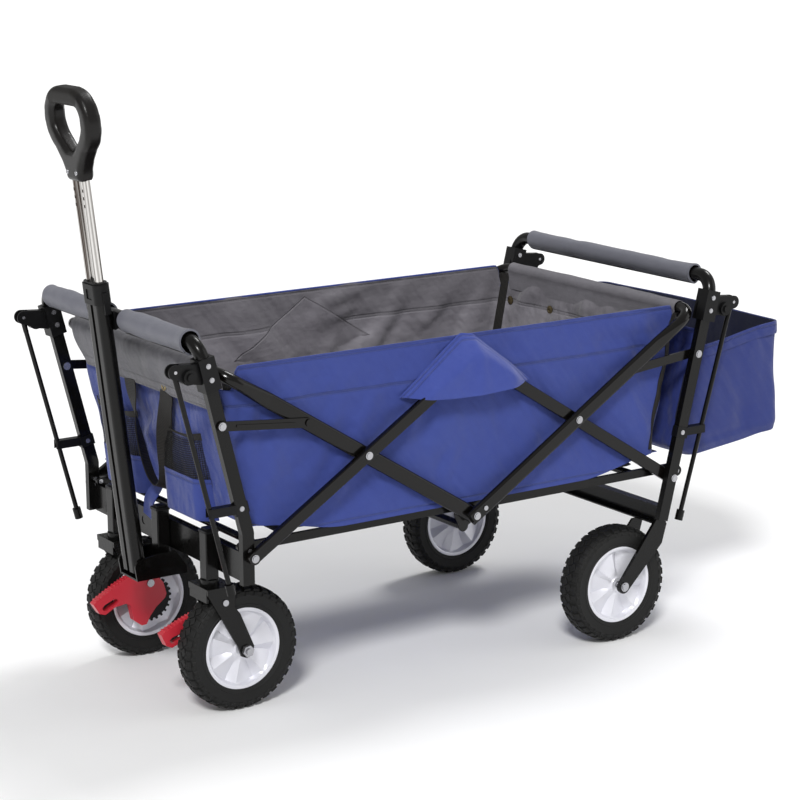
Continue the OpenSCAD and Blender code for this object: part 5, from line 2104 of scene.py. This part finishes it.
@dataclass
class Wheel:
    """A tyre with a blocked tread on a fanned plastic rim.

    The rim's face lies off the wheel's middle plane, between its hub and the tyre's bead.
    """

    radius: float = 100.0
    bead_r: float = 65.5
    face: float = 18.5
    blocks: int = 36
    fans: int = 7
    hub_r: float = 15.0

    def make_carcass(self) -> bpy.types.Object:
        """The tyre without its blocks: a closed section spun round the axle.

        Returns:
            The carcass.
        """
        section = [(66.0, 17.5), (69.0, 19.6), (71.0, 20.0), (72.2, 20.9), (73.4, 20.2), (80.0, 21.4)]
        section += [(85.0, 21.8), (86.4, 22.3), (87.8, 21.6), (92.6, 20.4), (96.2, 16.0), (97.8, 8.0)]
        outline = section + [(98.0, 0.0)] + [(r, -y) for r, y in reversed(section)]
        bpy.ops.mesh.primitive_circle_add(vertices=len(outline), radius=1.0, fill_type="NOTHING")
        tyre = named("tyre")
        for vertex, (r, y) in zip(tyre.data.vertices, outline):
            vertex.co = Vector((r, y, 0.0)) * MM
        with editing(tyre, "VERT"):
            bpy.ops.mesh.select_all(action="SELECT")
            bpy.ops.mesh.spin(steps=90, angle=2.0 * math.pi, center=(0.0, 0.0, 0.0), axis=(0.0, 1.0, 0.0))
        tidy_normals(tyre)
        return tyre

    def make_block(self, size: tuple[float, float, float], skew: float) -> bpy.types.Object:
        """One tread block with chamfered edges, standing on the crown.

        Args:
            size: its height, width and length, mm.
            skew: its turn on the crown, in degrees.

        Returns:
            The block, at the origin.
        """
        bpy.ops.mesh.primitive_cube_add(size=1.0)
        block = named("block")
        block.scale = tuple(v * MM for v in size)
        settle(block)
        with editing(block):
            mark_faces(block, lambda centre, normal: normal.x > 0.9)
            bpy.ops.mesh.inset(thickness=1.1 * MM, depth=0.0)
            bpy.ops.transform.translate(value=(0.7 * MM, 0.0, 0.0))
        block.data.transform(Matrix.Rotation(math.radians(skew), 4, "X"))
        return block

    def make_tread(self) -> list[bpy.types.Object]:
        """All the blocks: a staggered middle row and lugs over both shoulders.

        Returns:
            The blocks.
        """
        rise = self.radius - 0.7
        middle = self.make_block((5.0, 10.5, 11.4), 32.0)
        lug = self.make_block((5.4, 9.0, 11.0), 0.0)
        side = self.make_block((3.2, 6.5, 8.0), 0.0)
        places = ((middle, 2.5, 5.2, 0.0), (lug, 4.6, 15.4, 24.0), (side, 10.2, 20.2, 66.0))
        made = []
        for k in range(self.blocks):
            for s, stagger in ((1.0, 0.0), (-1.0, 0.5)):
                start = Matrix.Rotation(2.0 * math.pi * (k + stagger) / self.blocks, 4, "Y")
                for block, sunk, off, tip in places:
                    out = Matrix.Translation(Vector((rise - sunk, s * off, 0.0)) * MM)
                    turn = Matrix.Rotation(math.radians(s * tip), 4, "Z") @ Matrix.Diagonal((1.0, s, s, 1.0))
                    made.append(twin(block, "block", start @ out @ turn))
        for plain in (middle, lug, side):
            bpy.data.objects.remove(plain)
        return made

    def make_tyre(self) -> bpy.types.Object:
        """Carcass and blocks in one rubber piece.

        Returns:
            The tyre, at the origin.
        """
        tyre = join("tyre", [self.make_carcass(), *self.make_tread()])
        dress(tyre, Finish.RUBBER)
        smooth(tyre, 30.0)
        return tyre

    def fan_depth(self, turn: float, r: float) -> float:
        """Depth of the rim's face below its lip at a turn and a radius.

        Args:
            turn: place round the rim, in radians.
            r: distance from the axle, mm.

        Returns:
            The depth, mm.
        """
        part = (turn * self.fans / (2.0 * math.pi)) % 1.0
        slope = part / 0.7 if part < 0.7 else (1.0 - part) / 0.3
        reach = ease((r - self.hub_r) / 14.0) * (1.0 - 0.25 * ease((r - 50.0) / 8.0))
        return 3.6 + 12.5 * slope * reach * (0.3 + 0.7 * (r / self.bead_r))

    def make_rim(self) -> bpy.types.Object:
        """Both faces of the rim, joined through the tyre's bore.

        Returns:
            The rim, at the origin.
        """
        marks = [0.0, 0.12, 0.24, 0.36, 0.48, 0.6, 0.66, 0.7, 0.74, 0.82, 0.9, 0.96]
        turns = [2.0 * math.pi * (k + m) / self.fans for k in range(self.fans) for m in marks]
        rings = [(66.2, 0.4), (65.6, 0.0), (62.4, 0.0), (60.6, 0.8), (59.4, 3.2)]
        rings += [(r, None) for r in (57.0, 48.0, 38.0, 28.0, 20.0, 15.0)]
        rings += [(14.0, 3.0), (12.6, 1.4), (6.0, 1.2)]
        bpy.ops.mesh.primitive_circle_add(vertices=len(turns), radius=rings[0][0] * MM, fill_type="NOTHING")
        rim = named("rim")
        with editing(rim, "EDGE"):
            bpy.ops.mesh.select_all(action="SELECT")
            for (outer, _), (inner, _) in zip(rings, rings[1:]):
                bpy.ops.mesh.extrude_edges_move()
                bpy.ops.transform.resize(value=(inner / outer, inner / outer, 1.0))
        radii = [r for r, _ in rings]
        for vertex in rim.data.vertices:
            r = math.hypot(vertex.co.x, vertex.co.y) / MM
            k = min(range(len(radii)), key=lambda i: abs(radii[i] - r))
            share = math.atan2(vertex.co.y, vertex.co.x) / (2.0 * math.pi)
            turn = turns[round(share * len(turns)) % len(turns)]
            depth = self.fan_depth(turn, radii[k]) if rings[k][1] is None else rings[k][1]
            spot = (radii[k] * math.cos(turn), depth - self.face, radii[k] * math.sin(turn))
            vertex.co = Vector(spot) * MM
        other = twin(rim, "rim_back", Matrix.Rotation(math.pi, 4, "Z"))
        both = join("rim", [rim, other])
        with editing(both, "EDGE"):
            bpy.ops.mesh.select_non_manifold()
            bpy.ops.mesh.bridge_edge_loops(type="PAIRS")
        tidy_normals(both)
        dress(both, Finish.RIM)
        smooth(both, 24.0)
        return both

    def build(self) -> list[bpy.types.Object]:
        """Places a tyre and a rim at each of the four wheels.

        Returns:
            The pieces.
        """
        tyre, rim = self.make_tyre(), self.make_rim()
        made = []
        for place in ("front_near", "front_far", "rear_near", "rear_far"):
            low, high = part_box(f"tyre_{place}")
            centre = (Vector(low) + Vector(high)) / 2.0
            flip = Matrix.Rotation(math.pi, 4, "Z") if place.endswith("far") else Matrix.Identity(4)
            for plain, kind in ((tyre, "tyre"), (rim, "rim")):
                piece = twin(plain, f"wheel_{kind}_{place}", Matrix.Translation(centre) @ flip)
                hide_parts(f"{kind}_{place}")
                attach(piece, f"wheel_{place}")
                made.append(piece)
        for plain in (tyre, rim):
            bpy.data.objects.remove(plain)
        return made


@dataclass
class PedalRibs:
    """Fine ribs across the top of a brake pedal's lever, where the foot presses.

    Hinge, tip, bend and heel are places in X and Z from the wheel's centre, with the pedal down.
    """

    word: str
    raised_deg: float
    hinge: tuple[float, float] = (-10.3, 34.4)
    tip: tuple[float, float] = (-109.0, 20.2)
    bend: tuple[float, float] = (-72.0, 41.0)
    heel: tuple[float, float] = (-38.0, 56.0)
    count: int = 14
    width: float = 13.0
    inset: float = 7.0

    def turned(self, point: Vector) -> Vector:
        """A point beside the wheel's centre, turned with the raised pedal about its hinge."""
        hinge = Vector((self.hinge[0], 0.0, self.hinge[1]))
        return hinge + Matrix.Rotation(math.radians(self.raised_deg), 3, "Y") @ (point - hinge)

    def build(self) -> bpy.types.Object:
        """Makes the row of ribs, which moves with its pedal.

        Returns:
            The ribs as one piece.
        """
        low, high = (Vector(corner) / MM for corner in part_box(f"tyre_front_{self.word}"))
        centre = (low + high) / 2.0
        low, high = (Vector(corner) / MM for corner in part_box(f"brake_pedal_{self.word}"))
        middle_y = high.y - self.inset if self.word == "near" else low.y + self.inset
        ribs = []
        for t in spread(0.0, 2.0, self.count):
            start, stop = (self.tip, self.bend) if t < 1.0 else (self.bend, self.heel)
            part = t % 1.0 if t < 2.0 else 1.0
            slope = math.atan2(stop[1] - start[1], stop[0] - start[0])
            place = self.turned(Vector((mix(start[0], stop[0], part), 0.0, mix(start[1], stop[1], part))))
            bpy.ops.mesh.primitive_cube_add(size=1.0)
            rib = named("rib")
            rib.scale = (2.6 * MM, self.width * MM, 4.6 * MM)
            settle(rib)
            with editing(rib, "EDGE"):
                bpy.ops.mesh.select_all(action="SELECT")
                bpy.ops.mesh.bevel(offset=0.8 * MM, segments=3, affect="EDGES")
            lean = Matrix.Rotation(math.radians(self.raised_deg) - slope, 4, "Y")
            mark = Vector((centre.x + place.x, middle_y, centre.z + place.z))
            rib.data.transform(Matrix.Translation(mark * MM) @ lean)
            ribs.append(rib)
        row = join(f"pedal_ribs_{self.word}", ribs)
        dress(row, Finish.RED)
        smooth(row, 40.0)
        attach(row, f"pedal_{self.word}")
        return row


# ---------------------------------------------------------------- rigid nodes


class Metalwork:
    """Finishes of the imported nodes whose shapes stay."""

    FINISHES = {
        Finish.STEEL: (
            "front_posts", "front_push_bar", "front_crossbeam", "caster_stems", "handle_yoke", "rear_posts",
            "rear_push_bar", "rear_crossbeam", "rear_wheel_legs", "floor_frame_front", "floor_frame_rear",
            "handle_tube", "caster_fork_near", "caster_fork_far", "pole_front_near", "pole_front_far",
            "pole_rear_near", "pole_rear_far",
        ),
        Finish.BAR: (
            "side_bars_front", "side_bars_rear", "hoop_front", "hoop_rear", "links_front", "links_rear",
        ),
        Finish.PLASTIC: (
            "front_pole_brackets", "front_pole_clips", "rear_pole_brackets", "rear_pole_clips", "stem_caps",
            "handle_collar", "handle_clip",
        ),
        Finish.CHROME: (
            "front_rivets", "side_bar_rivets", "hoop_front_rivets", "hoop_rear_rivets", "rear_rivets",
            "caster_bolts_near", "caster_bolts_far",
        ),
        Finish.ROD: ("handle_rods",),
        Finish.RING: ("brake_ring_near", "brake_ring_far"),
        Finish.RED: ("brake_pedal_near", "brake_pedal_far"),
    }

    def __init__(self, nodes: dict[str, bpy.types.Object]) -> None:
        """Keeps the frame's nodes."""
        self.nodes = nodes

    def build(self) -> int:
        """Assigns the finishes and returns how many nodes have one.

        Returns:
            The number of nodes.
        """
        count = 0
        for finish, names in self.FINISHES.items():
            for name in names:
                dress(self.nodes[name], finish)
                count += 1
        return count


# ---------------------------------------------------------------- studio


@dataclass(frozen=True)
class Lamp:
    """A distant, soft studio light that falls evenly on the whole floor."""

    name: str
    place: tuple[float, float, float]
    spread_deg: float
    power: float

    def build(self) -> bpy.types.Object:
        """Adds the lamp, aimed at the wagon's middle.

        Returns:
            The lamp.
        """
        data = bpy.data.lights.new(self.name, "SUN")
        data.angle = math.radians(self.spread_deg)
        data.energy = self.power
        lamp = bpy.data.objects.new(self.name, data)
        lamp.location = self.place
        aim = Vector((0.0, 0.0, 0.4)) - Vector(self.place)
        lamp.rotation_euler = aim.to_track_quat("-Z", "Y").to_euler()
        bpy.context.collection.objects.link(lamp)
        return lamp


@dataclass
class Studio:
    """Pale floor, soft light and the camera."""

    azimuth: float = -33.976
    elevation: float = 13.033
    roll: float = -0.255
    distance: float = 3.8774
    lens: float = 102.85
    target: tuple[float, float, float] = (0.03722, 0.0, 0.41075)
    sky: float = 0.46

    def make_camera(self) -> bpy.types.Object:
        """The camera, level with the viewer's eye at the front near corner.

        Returns:
            The camera.
        """
        a, e, roll = (math.radians(v) for v in (self.azimuth, self.elevation, self.roll))
        back = Vector((math.sin(a) * math.cos(e), -math.cos(a) * math.cos(e), math.sin(e)))
        level = Vector((math.cos(a), math.sin(a), 0.0))
        upright = back.cross(level)
        right = level * math.cos(roll) + upright * math.sin(roll)
        up = upright * math.cos(roll) - level * math.sin(roll)
        data = bpy.data.cameras.new("camera")
        data.lens = self.lens
        data.sensor_width = 36.0
        data.clip_end = 200.0
        camera = bpy.data.objects.new("camera", data)
        camera.matrix_world = Matrix.Translation(Vector(self.target) + back * self.distance) @ Matrix(
            (right, up, back)
        ).transposed().to_4x4()
        bpy.context.collection.objects.link(camera)
        bpy.context.scene.camera = camera
        return camera

    def make_floor(self) -> bpy.types.Object:
        """A wide pale floor that runs past the edge of the view.

        Returns:
            The floor.
        """
        bpy.ops.mesh.primitive_circle_add(vertices=96, radius=90.0, fill_type="NGON")
        floor = named("studio_floor")
        with editing(floor):
            bpy.ops.mesh.select_all(action="SELECT")
            bpy.ops.mesh.inset(thickness=60.0)
        dress(floor, Finish.FLOOR)
        return floor

    def build(self) -> None:
        """Sets up the whole studio."""
        self.make_camera()
        self.make_floor()
        world = bpy.data.worlds.new("studio")
        world.use_nodes = True
        sky = world.node_tree.nodes["Background"]
        sky.inputs["Color"].default_value = (1.0, 1.0, 1.0, 1.0)
        sky.inputs["Strength"].default_value = self.sky
        bpy.context.scene.world = world
        for lamp in (
            Lamp("key", (-2.6, -3.0, 3.9), 12.0, 2.1),
            Lamp("top", (2.3, 0.9, 3.9), 18.0, 1.2),
            Lamp("side", (3.8, -2.4, 2.2), 40.0, 0.3),
        ):
            lamp.build()
        bpy.context.scene.view_settings.view_transform = "Standard"


# ---------------------------------------------------------------- all together


def report(label: str, pieces: Sequence[bpy.types.Object]) -> None:
    """Logs each piece of a sub-assembly."""
    for piece in pieces:
        LOG.info("%s: %s, %d faces", label, piece.name, len(piece.data.polygons))


def main() -> None:
    """Loads the frame and builds the wagon's visible pieces in order."""
    logging.basicConfig(level=logging.INFO, format="%(name)s %(message)s")
    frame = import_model()
    pick_only()
    Studio().build()
    LOG.info("metalwork: %d nodes", Metalwork(frame["nodes"]).build())
    front, rear = Basket(End.FRONT), Basket(End.REAR)
    report("front basket", front.build())
    report("rear basket", rear.build())
    report("front dressing", FrontDressing(front).build())
    flaps = (SideFlap(-1.0, "near", peak=574.0), SideFlap(1.0, "far", peak=568.0))
    report("side flaps", [flap.build() for flap in flaps])
    report("rear bag", RearBag().build())
    sleeves = (
        GripSleeve("grip_sleeve_near", "front_grip_sleeves", "front_frame", -233.0, -31.0, 301, pad=5.6),
        GripSleeve("grip_sleeve_far", "front_grip_sleeves", "front_frame", 31.0, 233.0, 302, pad=5.6),
        GripSleeve("grip_sleeve_rear", "rear_grip_sleeve", "rear_frame", -226.0, 226.0, 303, pad=3.4),
    )
    for sleeve in sleeves:
        report("grips", [sleeve.build(), sleeve.trim()])
    report("hand grip", HandGrip(plain=frame["nodes"]["hand_grip"]).build())
    report("wheels", Wheel().build())
    report("pedals", [PedalRibs("near", 8.0).build(), PedalRibs("far", 0.0).build()])


if __name__ == "__main__":
    main()
